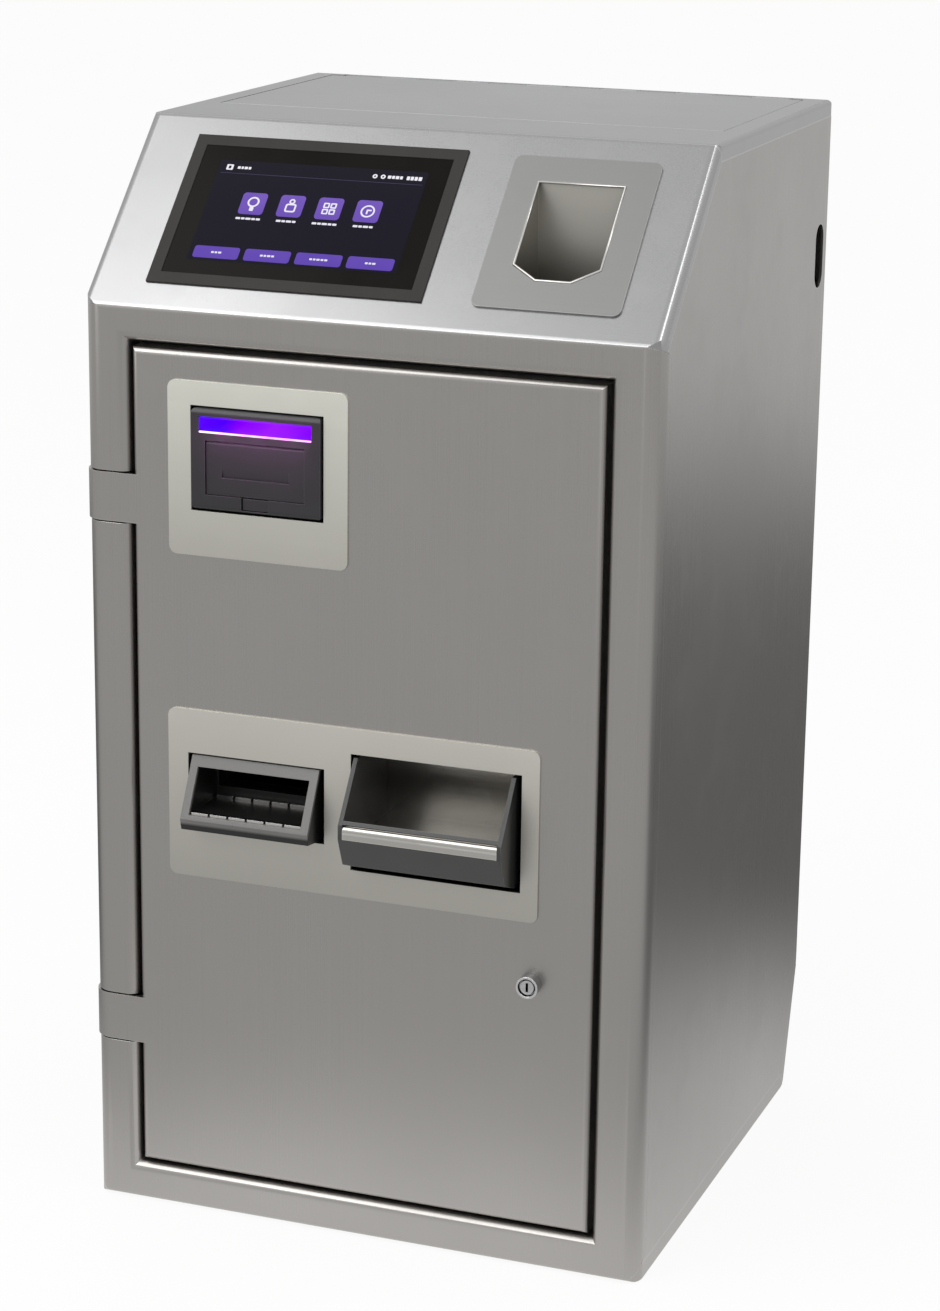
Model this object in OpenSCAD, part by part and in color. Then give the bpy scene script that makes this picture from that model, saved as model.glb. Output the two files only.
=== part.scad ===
// Free-standing stainless-steel cash payment kiosk: note validator and recycler, coin inlet,
// coin pay-out cup, touch screen and a locking service door. Front faces -Y, +Z is up, and the
// origin is the centre of the floor-bolt pattern on the underside of the base.

/* [Cabinet] */
// Overall width across the side panels
cab_w = 420; // [416:1:430]
// Overall depth from the front face to the rear face
cab_d = 415; // [412:1:425]
// Overall height to the top panel
cab_h = 785; // [780:1:800]
// Thickness of the folded stainless sheet
sheet_t = 2; // [1.5:0.5:2]
// Depth and height taken by the 45 degree console slope
slope_run = 118; // [116:1:120]
// Radius of the two upright front corners
corner_r = 15; // [14:0.5:15]
// Radius of the bends between front, slope and top
bend_r = 7; // [5:0.5:8]
// Height of the sloping kick at the foot of the rear panel
kick_h = 94; // [85:1:100]
// Depth of the sloping kick
kick_d = 28; // [24:1:32]
// Spacing of the floor bolts across the width
bolt_span_x = 360; // [354:1:362]
// Spacing of the floor bolts from front to rear
bolt_span_y = 280; // [260:1:290]
// Radius of each floor-bolt hole
bolt_hole_r = 4.5; // [4:0.5:5.5]

/* [Door] */
// Width of the door opening
open_w = 350; // [349:0.5:351]
// Height of the door opening
open_h = 612; // [608:1:614]
// Height of the rail under the door opening
sill_h = 30; // [28:1:32]
// Gap between the door and its opening
door_gap = 3; // [2.5:0.5:3]
// Depth of the folded door pan
door_depth = 20; // [19:0.5:20]
// Radius rolled along the inner edge of the door opening
reveal_r = 8; // [7:0.5:8]
// Radius rolled along the outer edge of the door
door_edge_r = 5; // [3:0.5:6]
// Outer radius of the hinge straps where they wrap the corner
strap_r = 16; // [15.5:0.25:16]
// Height of each hinge strap
strap_h = 35; // [30:1:38]
// Radius of the hinge pins
hinge_pin_r = 4; // [3:0.5:5]
// Height of the door lock above the floor
lock_z = 215; // [205:1:225]

/* [Modules] */
// Width of the cut-out for the note validator bezel
note_in_w = 99; // [98:0.5:100]
// Height of the cut-out for the note validator bezel
note_in_h = 74; // [73:0.5:75]
// Width of the cut-out for the note outlet
note_out_w = 104; // [103:0.5:105]
// Height of the cut-out for the note outlet
note_out_h = 55; // [54:0.5:56]
// Width of the cut-out for the coin cup
cup_w = 126; // [125:0.5:127]
// Height of the cut-out for the coin cup
cup_h = 85; // [84:0.5:86]
// Width of the screen bezel
screen_w = 203; // [200:1:206]
// Height of the screen bezel along the slope
screen_h = 128; // [124:1:130]
// Width of the coin inlet plate
coin_plate_w = 105; // [100:1:108]
// Height of the coin inlet plate along the slope
coin_plate_h = 127; // [122:1:130]

/* [Hidden] */
$fn = 48;

steel = "silver";
satin = "lightgray";
dark_plastic = [0.16, 0.16, 0.18];
zinc = [0.66, 0.68, 0.7];

front_y = -cab_d / 2;
rear_y = cab_d / 2;
slope_z = cab_h - slope_run;
inner_y = front_y + sheet_t;
inner_x = cab_w / 2 - sheet_t;
far = 2 * cab_h;
cut = 1;

// ---- outline helpers: paths run clockwise, so the inside lies on their right ----

function unit(v) = v / norm(v);
function inward(a, b) = let (e = unit(b - a)) [e.y, -e.x];
function before(pts, i) = pts[(i + len(pts) - 1) % len(pts)];
function after(pts, i) = pts[(i + 1) % len(pts)];
function inset_point(pts, i, d) =
    let (n1 = inward(before(pts, i), pts[i]), n2 = inward(pts[i], after(pts, i)))
    pts[i] + d * (n1 + n2) / (1 + n1 * n2);
function inset_points(pts, d) = [for (i = [0 : len(pts) - 1]) inset_point(pts, i, d)];
function inset_radii(radii, d) = [for (r = radii) max(r - d, 1)];
function tangent_length(pts, i, r) =
    let (n1 = inward(before(pts, i), pts[i]), n2 = inward(pts[i], after(pts, i)))
    r * tan(acos(n1 * n2) / 2);

// Convex outline with a true arc of its own radius at every corner
module rounded_polygon(pts, radii) {
    difference() {
        polygon(pts);
        for (i = [0 : len(pts) - 1]) {
            centre = inset_point(pts, i, radii[i]);
            reach = tangent_length(pts, i, radii[i]);
            difference() {
                polygon([pts[i] - reach * unit(pts[i] - before(pts, i)), pts[i],
                         pts[i] + reach * unit(after(pts, i) - pts[i]), centre]);
                translate(centre) circle(radii[i]);
            }
        }
    }
}

// Slot outline with round ends that runs between two points on the second axis
module round_slot(mid, lo, hi, r) {
    seam = 0.01;
    rounded_polygon(box_path(mid - r, mid + r, lo, hi), [for (i = [0 : 3]) r - seam]);
}

function box_path(x0, x1, y0, y1) = [[x0, y0], [x0, y1], [x1, y1], [x1, y0]];

module span_box(x, y, z) {
    translate([x[0], y[0], z[0]]) cube([x[1] - x[0], y[1] - y[0], z[1] - z[0]]);
}

// Extrudes a (Y, Z) outline along X between two stations
module along_x(x0, x1) {
    translate([x0, 0, 0]) rotate([90, 0, 90]) linear_extrude(x1 - x0) children();
}

// Extrudes an (X, Z) outline along Y between two stations
module along_y(y0, y1) {
    translate([0, y1, 0]) rotate([90, 0, 0]) linear_extrude(y1 - y0) children();
}

// Local frame on the console slope: X across, Y up the slope, Z out of it
module on_slope() {
    translate([0, front_y, slope_z]) rotate([45, 0, 0]) children();
}

module rounded_plate(x, z, y, r) {
    along_y(y[0], y[1]) rounded_polygon(box_path(x[0], x[1], z[0], z[1]), [r, r, r, r]);
}

module cylinder_x(x0, x1, y, z, r) {
    translate([x0, y, z]) rotate([0, 90, 0]) cylinder(h = x1 - x0, r = r);
}

module cylinder_y(y0, y1, x, z, r) {
    translate([x, y0, z]) rotate([-90, 0, 0]) cylinder(h = y1 - y0, r = r);
}

// ---- cabinet envelope and its split into folded panels ----

foot_r = 8;
rear_edge_r = 3;
weld_r = 0.5;
kick_bend_r = 60;
slope_edge_r = 7;
top_edge_r = 4;
side_path = [[front_y, 0], [front_y, slope_z], [front_y + slope_run, cab_h], [rear_y, cab_h],
             [rear_y, kick_h], [rear_y - kick_d, 0]];
side_radii = [foot_r, bend_r, bend_r, rear_edge_r, kick_bend_r, foot_r];
plan_path = box_path(-cab_w / 2, cab_w / 2, front_y, rear_y);
plan_radii = [corner_r, weld_r, weld_r, corner_r];

// Outer shape of the cabinet, set in by d; the crown adds the rounded slope and top edges
module envelope(d, crown = true) {
    intersection() {
        along_x(-cab_w, cab_w)
            rounded_polygon(inset_points(side_path, d), inset_radii(side_radii, d));
        translate([0, 0, -cut]) linear_extrude(cab_h + 2 * cut)
            rounded_polygon(inset_points(plan_path, d), inset_radii(plan_radii, d));
        if (crown) on_slope() along_y(-far, far)
            rounded_polygon(
                box_path(-cab_w / 2 + d, cab_w / 2 - d, -far, -d),
                inset_radii([bend_r, slope_edge_r, slope_edge_r, bend_r], d));
        if (crown) along_y(-far, far)
            rounded_polygon(
                box_path(-cab_w / 2 + d, cab_w / 2 - d, -far, cab_h - d),
                inset_radii([bend_r, top_edge_r, top_edge_r, bend_r], d));
    }
}

front_depth = 20;
fold_depth = 12;
rear_depth = 6;
outset = 7;
FRONT = 0;
SLOPE = 1;
TOP = 2;
REAR = 3;
KICK = 4;
BASE = 5;
edge_depths = [front_depth, fold_depth, fold_depth, rear_depth, rear_depth, fold_depth];

crown_z = cab_h - fold_depth;

// Part of the side outline that one folded panel takes: strips meet at mitres, and the top
// panel keeps the whole corner above the rear panel
module edge_strip(i) {
    outer = inset_points(side_path, -outset);
    inner = inset_points(side_path, edge_depths[i]);
    next = (i + 1) % len(side_path);
    top_corner = [rear_y + outset, crown_z];
    rear_corner = [rear_y - rear_depth, crown_z];
    if (i == TOP) polygon([outer[i], outer[next], top_corner, inner[i]]);
    else if (i == REAR) polygon([rear_corner, top_corner, outer[next], inner[next]]);
    else polygon([outer[i], outer[next], inner[next], inner[i]]);
}

module skin_strip(i, crown = true) {
    difference() {
        intersection() {
            envelope(0, crown);
            along_x(-cab_w, cab_w) edge_strip(i);
        }
        envelope(sheet_t, crown);
    }
}

// Square-cornered tray bent along the rear and kick edges, with shallow side returns
module rear_tray() {
    difference() {
        along_x(-cab_w / 2, cab_w / 2) intersection() {
            rounded_polygon(side_path, side_radii);
            union() {
                edge_strip(REAR);
                edge_strip(KICK);
            }
        }
        along_x(-inner_x, inner_x)
            rounded_polygon(inset_points(side_path, sheet_t), inset_radii(side_radii, sheet_t));
    }
}

// ---- door opening ----

open_x = open_w / 2;
open_z0 = sill_h;
open_z1 = sill_h + open_h;
lip_gap = 4.5;
lip_w = 10;
lip_y = front_y + door_depth + lip_gap;

// Outline of the opening in one direction, flared by the rolled reveal at the front face
module flared_gap(lo, hi, r, y0, y1) {
    polygon(box_path(lo, hi, y0 - cut, y1));
    difference() {
        polygon(box_path(lo - r, hi + r, y0 - cut, y0 + r));
        translate([lo - r, y0 + r]) circle(r);
        translate([hi + r, y0 + r]) circle(r);
        polygon(box_path(lo - 2 * r, lo - r - cut, y0 - cut, y0 + r));
    }
}

module opening_void(grow, r, y0, y1) {
    intersection() {
        translate([0, 0, open_z0 - 2 * reveal_r]) linear_extrude(open_h + 4 * reveal_r)
            flared_gap(-open_x - grow, open_x + grow, r, y0, y1);
        translate([-open_x - 2 * reveal_r, 0, 0]) rotate([90, 0, 90])
            linear_extrude(open_w + 4 * reveal_r)
            rotate(90) mirror([0, 1]) flared_gap(open_z0 - grow, open_z1 + grow, r, y0, y1);
    }
}

// ---- hinges ----

hinge_x = -cab_w / 2 - sheet_t + strap_r;
hinge_y = front_y + strap_r;
strap_t = 4;
notch_r = strap_r + 0.8;
notch_gap = 1;
strap_z = [125, 514];
bore_gap = 0.05;
ear_t = 4;
ear_r = 10;
ear_gap = notch_gap + 0.5;
pin_fit = 0.01;
bracket_x = [-inner_x, hinge_x + ear_r - 2];
bracket_t = 3;
bracket_y = [hinge_y + notch_r + 0.5, hinge_y + notch_r + 0.5 + bracket_t];
door_x = open_x - door_gap;
door_z0 = open_z0 + door_gap;
door_z1 = open_z1 - door_gap;

module hinge_notch(z) {
    translate([0, 0, z - notch_gap]) linear_extrude(strap_h + 2 * notch_gap) {
        translate([hinge_x, hinge_y]) circle(notch_r);
        polygon(box_path(-cab_w, -door_x, front_y - outset, hinge_y + sheet_t));
    }
}

module front_frame() {
    color(steel) difference() {
        union() {
            difference() {
                skin_strip(FRONT);
                opening_void(0, reveal_r, front_y, front_y + front_depth + outset);
            }
            difference() {
                intersection() {
                    opening_void(sheet_t, reveal_r - sheet_t, front_y + sheet_t,
                        lip_y + sheet_t);
                    span_box([-cab_w, cab_w], [inner_y, lip_y + sheet_t], [0, cab_h]);
                }
                opening_void(0, reveal_r, front_y, lip_y);
                span_box([-open_x + lip_w, open_x - lip_w], [front_y, rear_y],
                    [open_z0 + lip_w, open_z1 - lip_w]);
            }
        }
        for (z = strap_z) hinge_notch(z);
    }
}

module base_plate() {
    color(steel) difference() {
        skin_strip(BASE, false);
        for (x = [-1, 1], y = [-1, 1])
            translate([x * bolt_span_x / 2, y * bolt_span_y / 2, -cut])
                cylinder(h = sheet_t + 2 * cut, r = bolt_hole_r);
    }
}

slot_w = 22;
slot_h = 48;
slot_z = 670;
slot_y = rear_y - 20;

module hand_slot() {
    along_x(-cab_w, cab_w)
        round_slot(slot_y, slot_z - slot_h / 2, slot_z + slot_h / 2, slot_w / 2);
}

module side_panel(x0) {
    color(steel) difference() {
        along_x(x0, x0 + sheet_t) difference() {
            polygon(side_path);
            for (i = [FRONT : BASE]) edge_strip(i);
        }
        for (z = strap_z) hinge_notch(z);
        hand_slot();
    }
}

module left_side_panel() {
    side_panel(-cab_w / 2);
}

module right_side_panel() {
    side_panel(inner_x);
}

inlet_x = -150;
inlet_z = 190;
inlet_w = 27;
inlet_h = 20;
switch_z = 224;
switch_w = 22;
switch_h = 14;
cage_slack = 0.4;

module rear_panel() {
    color(steel) difference() {
        rear_tray();
        hand_slot();
        rear_block(inlet_w, inlet_h, inlet_z, [0, rear_y + cut]);
        rear_block(switch_w + 2 * cage_t + cage_slack, switch_h + 2 * cage_t + cage_slack, switch_z,
            [0, rear_y + cut]);
    }
}

// ---- console slope ----

screen_x = -65.5;
screen_v = 85;
screen_rebate = 3;
coin_x = 123;
coin_v = 84.5;
coin_throat = [[-31.5, 56], [-31.5, 127], [31.5, 127], [31.5, 56], [12.75, 44], [-12.75, 44]];
throat_gap = 4.5;
coin_path = [for (p = coin_throat) [p.x + coin_x, p.y]];

module console_panel() {
    color(steel) difference() {
        skin_strip(SLOPE);
        on_slope() translate([0, 0, -2 * sheet_t]) linear_extrude(4 * sheet_t) {
            polygon(inset_points(coin_path, -throat_gap));
            translate([screen_x, screen_v])
                square([screen_w - 2 * screen_rebate, screen_h - 2 * screen_rebate], center = true);
        }
    }
}

plate_t = 1.5;
plate_r = 6;

module coin_inlet_plate() {
    plate = box_path(coin_x - coin_plate_w / 2, coin_x + coin_plate_w / 2,
        coin_v - coin_plate_h / 2, coin_v + coin_plate_h / 2);
    color(satin) on_slope() linear_extrude(plate_t) difference() {
        rounded_polygon(plate, [plate_r, plate_r, plate_r, plate_r]);
        polygon(coin_path);
    }
}

funnel_z = 624;
funnel_t = 1.5;
slope_cos = cos(45);
funnel_plan = [for (p = coin_path) [p.x, front_y + p.y * slope_cos]];

module coin_funnel() {
    color(satin) intersection() {
        translate([0, 0, funnel_z]) linear_extrude(cab_h - funnel_z) difference() {
            polygon(inset_points(funnel_plan, -funnel_t));
            polygon(funnel_plan);
        }
        on_slope() translate([-cab_w, -far, -far]) cube([2 * cab_w, 2 * far, far]);
    }
}

bezel_lip = 1.5;
bezel_body = 8;
bezel_rim = 9;
glass_t = 3;
glass_sink = 0.5;

module screen_block(w, h, n0, n1) {
    on_slope() translate([screen_x, screen_v, n0]) linear_extrude(n1 - n0)
        square([w, h], center = true);
}

module screen_bezel() {
    slack = 0.4;
    color(dark_plastic) difference() {
        union() {
            screen_block(screen_w, screen_h, 0, bezel_lip);
            screen_block(screen_w - 2 * screen_rebate - slack,
                screen_h - 2 * screen_rebate - slack, -bezel_body, 0);
        }
        screen_block(screen_w - 2 * bezel_rim, screen_h - 2 * bezel_rim, -bezel_body - cut,
            bezel_lip + cut);
    }
}

module touch_glass() {
    color([0.05, 0.05, 0.08]) screen_block(screen_w - 2 * bezel_rim, screen_h - 2 * bezel_rim,
        bezel_lip - glass_sink - glass_t, bezel_lip - glass_sink);
}

module lcd_panel() {
    panel_w = 160;
    panel_h = 92;
    color([0.2, 0.1, 0.4])
        screen_block(panel_w, panel_h, -bezel_body, bezel_lip - glass_sink - glass_t);
}

module monitor_housing() {
    housing_w = 172;
    housing_h = 106;
    depth = 42;
    color(zinc) screen_block(housing_w, housing_h, -depth, -bezel_body);
}

// ---- top panel and its hinged service lid ----

lid_x = [-190, 190];
lid_y0 = front_y + 193;
lid_hinge_y = rear_y - 10;
lid_hinge_z = cab_h - 3;
lid_knuckle_r = 3;
lid_pin_r = 1.5;
lid_clear = 4.9;
lid_gap = 1;
ledge_w = 9;
lid_lengths = 12;
knuckle_pitch = 30;
knuckle_gap = 0.5;
leaf_t = 1.5;

// One set of hinge knuckles; even or odd stations along the piano hinge
module hinge_stations(first) {
    start = -lid_lengths * knuckle_pitch / 2;
    for (i = [first : 2 : lid_lengths - 1])
        translate([start + i * knuckle_pitch, 0, 0]) children();
}

module knuckle_tube() {
    cylinder_x(knuckle_gap, knuckle_pitch - knuckle_gap, lid_hinge_y, lid_hinge_z, lid_knuckle_r);
}

module lid_pin_bore(r) {
    cylinder_x(-cab_w / 2, cab_w / 2, lid_hinge_y, lid_hinge_z, r);
}

module top_panel() {
    ledge_z = cab_h - 2 * sheet_t;
    hinge_end = lid_lengths * knuckle_pitch / 2 + sheet_t;
    color(steel) union() {
        difference() {
            skin_strip(TOP);
            span_box([lid_x[0] - lid_gap, lid_x[1] + lid_gap], [lid_y0 - lid_gap, lid_hinge_y],
                [ledge_z - outset, cab_h + cut]);
            span_box([-hinge_end, hinge_end], [lid_hinge_y - cut, lid_hinge_y + lid_clear],
                [ledge_z - outset, cab_h + cut]);
        }
        difference() {
            span_box([lid_x[0] - ledge_w, lid_x[1] + ledge_w],
                [lid_y0 - ledge_w, lid_hinge_y - ledge_w * 2],
                [ledge_z, ledge_z + sheet_t]);
            span_box([lid_x[0] + ledge_w, lid_x[1] - ledge_w],
                [lid_y0 + ledge_w, lid_hinge_y],
                [ledge_z - cut, ledge_z + sheet_t + cut]);
        }
    }
}

lid_seal_gap = 0.3;

module service_lid() {
    lid_z = cab_h - sheet_t + lid_seal_gap;
    leaf_w = 17;
    color(steel) difference() {
        union() {
            span_box(lid_x, [lid_y0, lid_hinge_y - lid_knuckle_r - knuckle_gap], [lid_z, cab_h]);
            hinge_stations(0) {
                knuckle_tube();
                span_box([knuckle_gap, knuckle_pitch - knuckle_gap], [lid_hinge_y - leaf_w, lid_hinge_y],
                    [lid_z - leaf_t, lid_z]);
            }
        }
        lid_pin_bore(lid_pin_r + bore_gap);
    }
}

module lid_hinge_leaf() {
    wall_y = rear_y - sheet_t;
    leaf_drop = 20;
    color(zinc) difference() {
        hinge_stations(1) {
            knuckle_tube();
            span_box([knuckle_gap, knuckle_pitch - knuckle_gap], [lid_hinge_y, wall_y],
                [lid_hinge_z - leaf_t, lid_hinge_z]);
            span_box([knuckle_gap, knuckle_pitch - knuckle_gap], [wall_y - leaf_t, wall_y],
                [lid_hinge_z - leaf_drop, lid_hinge_z]);
        }
        lid_pin_bore(lid_pin_r + bore_gap);
    }
}

module lid_hinge_pin() {
    half = lid_lengths * knuckle_pitch / 2;
    color(zinc) cylinder_x(-half, half, lid_hinge_y, lid_hinge_z, lid_pin_r);
}

// ---- hinge hardware, strike and gasket ----

module hinge_brackets() {
    color(zinc) for (z = strap_z) {
        difference() {
            union() {
                for (ear_z = [z - ear_gap - ear_t, z + strap_h + ear_gap])
                    translate([0, 0, ear_z]) linear_extrude(ear_t) {
                        translate([hinge_x, hinge_y]) circle(ear_r);
                        polygon(box_path(hinge_x - ear_r, hinge_x + ear_r, hinge_y,
                            bracket_y[1]));
                    }
                span_box(bracket_x, bracket_y,
                    [z - ear_gap - ear_t, z + strap_h + ear_gap + ear_t]);
            }
            translate([hinge_x, hinge_y, z - strap_h])
                cylinder(h = 3 * strap_h, r = hinge_pin_r + pin_fit);
        }
    }
}

module hinge_pins() {
    overhang = 10;
    color(zinc) for (z = strap_z)
        translate([hinge_x, hinge_y, z - overhang])
            cylinder(h = strap_h + 2 * overhang, r = hinge_pin_r);
}

lock_x = 127.5;
cam_gap = 0.6;
cam_t = 3;
cam_y = [lip_y + 2 * sheet_t + cam_gap, lip_y + 2 * sheet_t + cam_gap + cam_t];
cam_reach = 50;

module strike_plate() {
    half = 22;
    color(zinc) span_box([open_x - lip_w, open_x + sheet_t], [lip_y + sheet_t, lip_y + 2 * sheet_t],
        [lock_z - half, lock_z + half]);
}

module door_gasket() {
    inset = 1.5;
    width = 7;
    squeeze = 0.3;
    color([0.05, 0.05, 0.05]) difference() {
        span_box([-open_x + inset, open_x - inset], [lip_y - lip_gap + squeeze, lip_y],
            [open_z0 + inset, open_z1 - inset]);
        span_box([-open_x + inset + width, open_x - inset - width], [front_y, rear_y],
            [open_z0 + inset + width, open_z1 - inset - width]);
    }
}

// ---- inner chassis ----

wall_x = [-152, -14, 160];
wall_y = [-160, 150];
note_shelf_z = 234;
coin_shelf_z = 376;
wall_top = 520;

module chassis_wall(i) {
    window_y = [-90, 90];
    window_z = [60, 280, 420];
    window_h = 70;
    color(zinc) difference() {
        span_box([wall_x[i], wall_x[i] + sheet_t], wall_y, [sheet_t, wall_top]);
        for (z = window_z)
            span_box([wall_x[i] - cut, wall_x[i] + sheet_t + cut], window_y, [z, z + window_h]);
    }
}

module chassis_left_wall() {
    chassis_wall(0);
}

module chassis_centre_wall() {
    chassis_wall(1);
}

module chassis_right_wall() {
    chassis_wall(2);
}

module folded_shelf(x, z) {
    flange = 12;
    color(zinc) {
        span_box(x, wall_y, [z, z + sheet_t]);
        for (side_x = [x[0], x[1] - sheet_t])
            span_box([side_x, side_x + sheet_t], wall_y, [z - flange, z]);
    }
}

module note_shelf() {
    folded_shelf([wall_x[0] + sheet_t, wall_x[1]], note_shelf_z);
}

module coin_shelf() {
    notch_y = [-152, -108];
    notch_side = 4;
    difference() {
        folded_shelf([wall_x[1] + sheet_t, wall_x[2]], coin_shelf_z);
        span_box([chute_x[0] - notch_side, chute_x[1] + notch_side], notch_y,
            [coin_shelf_z - cut, coin_shelf_z + sheet_t + cut]);
    }
}

// ---- cash boxes ----

box_y = [-158, 100];
note_box_x = [-146, -20];
coin_box_x = [-8, 154];
box_base = sheet_t + 3;
note_box_top = 200;
coin_box_top = 262;
box_t = 2;

module note_cashbox() {
    entry_x = [-121, -37];
    entry_y = [-20, 10];
    entry_z = note_box_top - box_t;
    color(zinc) difference() {
        span_box(note_box_x, box_y, [box_base, note_box_top]);
        span_box([note_box_x[0] + box_t, note_box_x[1] - box_t],
            [box_y[0] + box_t, box_y[1] - box_t], [box_base + box_t, entry_z]);
        span_box(entry_x, entry_y, [entry_z - cut, note_box_top + cut]);
    }
}

module coin_cashbox() {
    color(zinc) difference() {
        span_box(coin_box_x, box_y, [box_base, coin_box_top]);
        span_box([coin_box_x[0] + box_t, coin_box_x[1] - box_t],
            [box_y[0] + box_t, box_y[1] - box_t], [box_base + box_t, coin_box_top + cut]);
    }
}

module cashbox_handles() {
    reach = 12;
    grip_r = 3;
    half = 35;
    grip_z = 150;
    color(dark_plastic) for (mid_x = [-83, 60]) {
        cylinder_x(mid_x - half, mid_x + half, box_y[0] - reach + grip_r, grip_z, grip_r);
        for (s = [-1, 1])
            cylinder_y(box_y[0] - reach + grip_r, box_y[0], mid_x + s * (half - grip_r), grip_z,
                grip_r);
    }
}

// ---- note recycler and validator ----

note_x = [-127, -29];
path_x = [-121, -35];
recycler_y = [-165, 20];
recycler_z = [note_shelf_z + sheet_t, 515];
drum_y = -70;
drum_z = 430;
drum_r = 46;
drum_shaft_r = 4;
outlet_gap_z = [320, 332];

module recycler_housing() {
    wall = 3;
    color([0.25, 0.26, 0.28]) difference() {
        span_box(note_x, recycler_y, recycler_z);
        span_box([note_x[0] + wall, note_x[1] - wall], [recycler_y[0] + wall, recycler_y[1] + cut],
            [recycler_z[0] + wall, recycler_z[1] - wall]);
        span_box(path_x, [recycler_y[0] - cut, recycler_y[0] + wall + cut], outlet_gap_z);
        cylinder_x(note_x[0] - cut, note_x[1] + cut, drum_y, drum_z, drum_shaft_r + bore_gap);
    }
}

module recycler_drum() {
    flange_r = 54;
    flange_t = 2;
    shaft_over = 3;
    half = 42;
    mid = (note_x[0] + note_x[1]) / 2;
    color("white") {
        cylinder_x(mid - half, mid + half, drum_y, drum_z, drum_r);
        for (x = [mid - half, mid + half - flange_t])
            cylinder_x(x, x + flange_t, drum_y, drum_z, flange_r);
        cylinder_x(note_x[0] - shaft_over, note_x[1] + shaft_over, drum_y, drum_z, drum_shaft_r);
    }
}

head_y = [-176, -40];
head_low_z = [518, 589];
head_top_z = [596.5, 634];
roller_y = [-150, -78];
roller_r = 10;
roller_proud = 0.6;
roller_z = head_low_z[1] - roller_r + roller_proud;
shaft_r = 3;

module validator_lower_housing() {
    wall = 3;
    roller_slot_x = [-120, -36];
    color(dark_plastic) difference() {
        span_box(note_x, head_y, head_low_z);
        span_box([note_x[0] + wall, note_x[1] - wall], [head_y[0] + wall, head_y[1] - wall],
            [head_low_z[0] - cut, head_low_z[1] - wall]);
        for (y = roller_y) {
            span_box(roller_slot_x, [y - roller_r - cut, y + roller_r + cut],
                [head_low_z[1] - wall - cut, head_low_z[1] + cut]);
            cylinder_x(note_x[0] - cut, note_x[1] + cut, y, roller_z, shaft_r + bore_gap);
        }
    }
}

module validator_upper_housing() {
    cheek = 4;
    color(dark_plastic) {
        span_box(note_x, head_y, head_top_z);
        for (x = [note_x[0], note_x[1] - cheek])
            span_box([x, x + cheek], head_y, [head_low_z[1], head_top_z[0]]);
    }
}

pulley_r = 8;
pulley_x = [note_x[1] + 1, note_x[1] + 6];

module note_roller(y) {
    wheel_w = 14;
    wheel_x = [-112, -85, -58];
    shaft_over = 2;
    color([0.08, 0.08, 0.08]) {
        for (x = wheel_x)
            cylinder_x(x, x + wheel_w, y, roller_z, roller_r);
        cylinder_x(note_x[0] - shaft_over, pulley_x[1], y, roller_z, shaft_r);
        cylinder_x(pulley_x[0], pulley_x[1], y, roller_z, pulley_r);
    }
}

module front_note_roller() {
    note_roller(roller_y[0]);
}

module rear_note_roller() {
    note_roller(roller_y[1]);
}

module belt_loop(r) {
    rotate(-90) mirror([0, 1]) mirror([1, 0])
        round_slot(roller_z, -roller_y[1] - r, -roller_y[0] + r, r);
}

module roller_drive_belt() {
    belt_gap = 0.3;
    belt_t = 1.2;
    rim = 0.5;
    color([0.05, 0.05, 0.05]) along_x(pulley_x[0] + rim, pulley_x[1] - rim) difference() {
        belt_loop(pulley_r + belt_gap + belt_t);
        belt_loop(pulley_r + belt_gap);
    }
}

note_in_x = [-126.7, note_in_w - 126.7];
note_in_z = [528.2, note_in_h + 528.2];
bezel_gap = 1.4;
bezel_x = [note_in_x[0] + bezel_gap, note_in_x[1] - bezel_gap];
bezel_z = [note_in_z[0] + bezel_gap, note_in_z[1] - bezel_gap];
bezel_face_y = front_y - 4;
bezel_back_y = head_y[0];
window_x = [-119.6, -35.5];
window_z = [584, 595.5];
flap_x = [-114.5, -41.5];
flap_z = [541, 578.5];
flap_gap = 0.5;
flap_t = 4;
flap_face_y = front_y - 2.5;
latch_w = 19;
latch_x = [-87.5, latch_w - 87.5];
latch_z = [532, 540];

module validator_bezel() {
    edge_r = 4;
    corner = 3;
    pocket_back = front_y + 12;
    color(dark_plastic) difference() {
        intersection() {
            rounded_plate(bezel_x, bezel_z, [bezel_face_y, bezel_back_y], corner);
            along_x(bezel_x[0], bezel_x[1])
                rounded_polygon(
                    box_path(bezel_face_y, bezel_back_y, bezel_z[0], bezel_z[1]),
                    [edge_r, edge_r, 1, 1]);
        }
        span_box(window_x, [bezel_face_y - cut, bezel_back_y + cut], window_z);
        span_box([flap_x[0] - flap_gap, flap_x[1] + flap_gap], [bezel_face_y - cut, pocket_back],
            [flap_z[0] - flap_gap, flap_z[1] + flap_gap]);
        span_box([latch_x[0] - flap_gap, latch_x[1] + flap_gap], [bezel_face_y - cut, pocket_back],
            [latch_z[0] - flap_gap, latch_z[1] + flap_gap]);
    }
}

module led_light_guide() {
    ramp_back = front_y + 18;
    ramp_top = 589;
    nose_y = bezel_face_y + 0.5;
    nose_t = 1.2;
    color([0.5, 0.1, 1]) along_x(window_x[0], window_x[1])
        polygon([[nose_y, window_z[0]], [nose_y, window_z[0] + nose_t],
                 [ramp_back, ramp_top], [bezel_back_y, ramp_top], [bezel_back_y, window_z[0]]]);
}

flap_pin_r = flap_t / 2;
flap_axis_y = flap_face_y + flap_pin_r;
flap_axis_z = flap_z[1] - 2.5;

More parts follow.
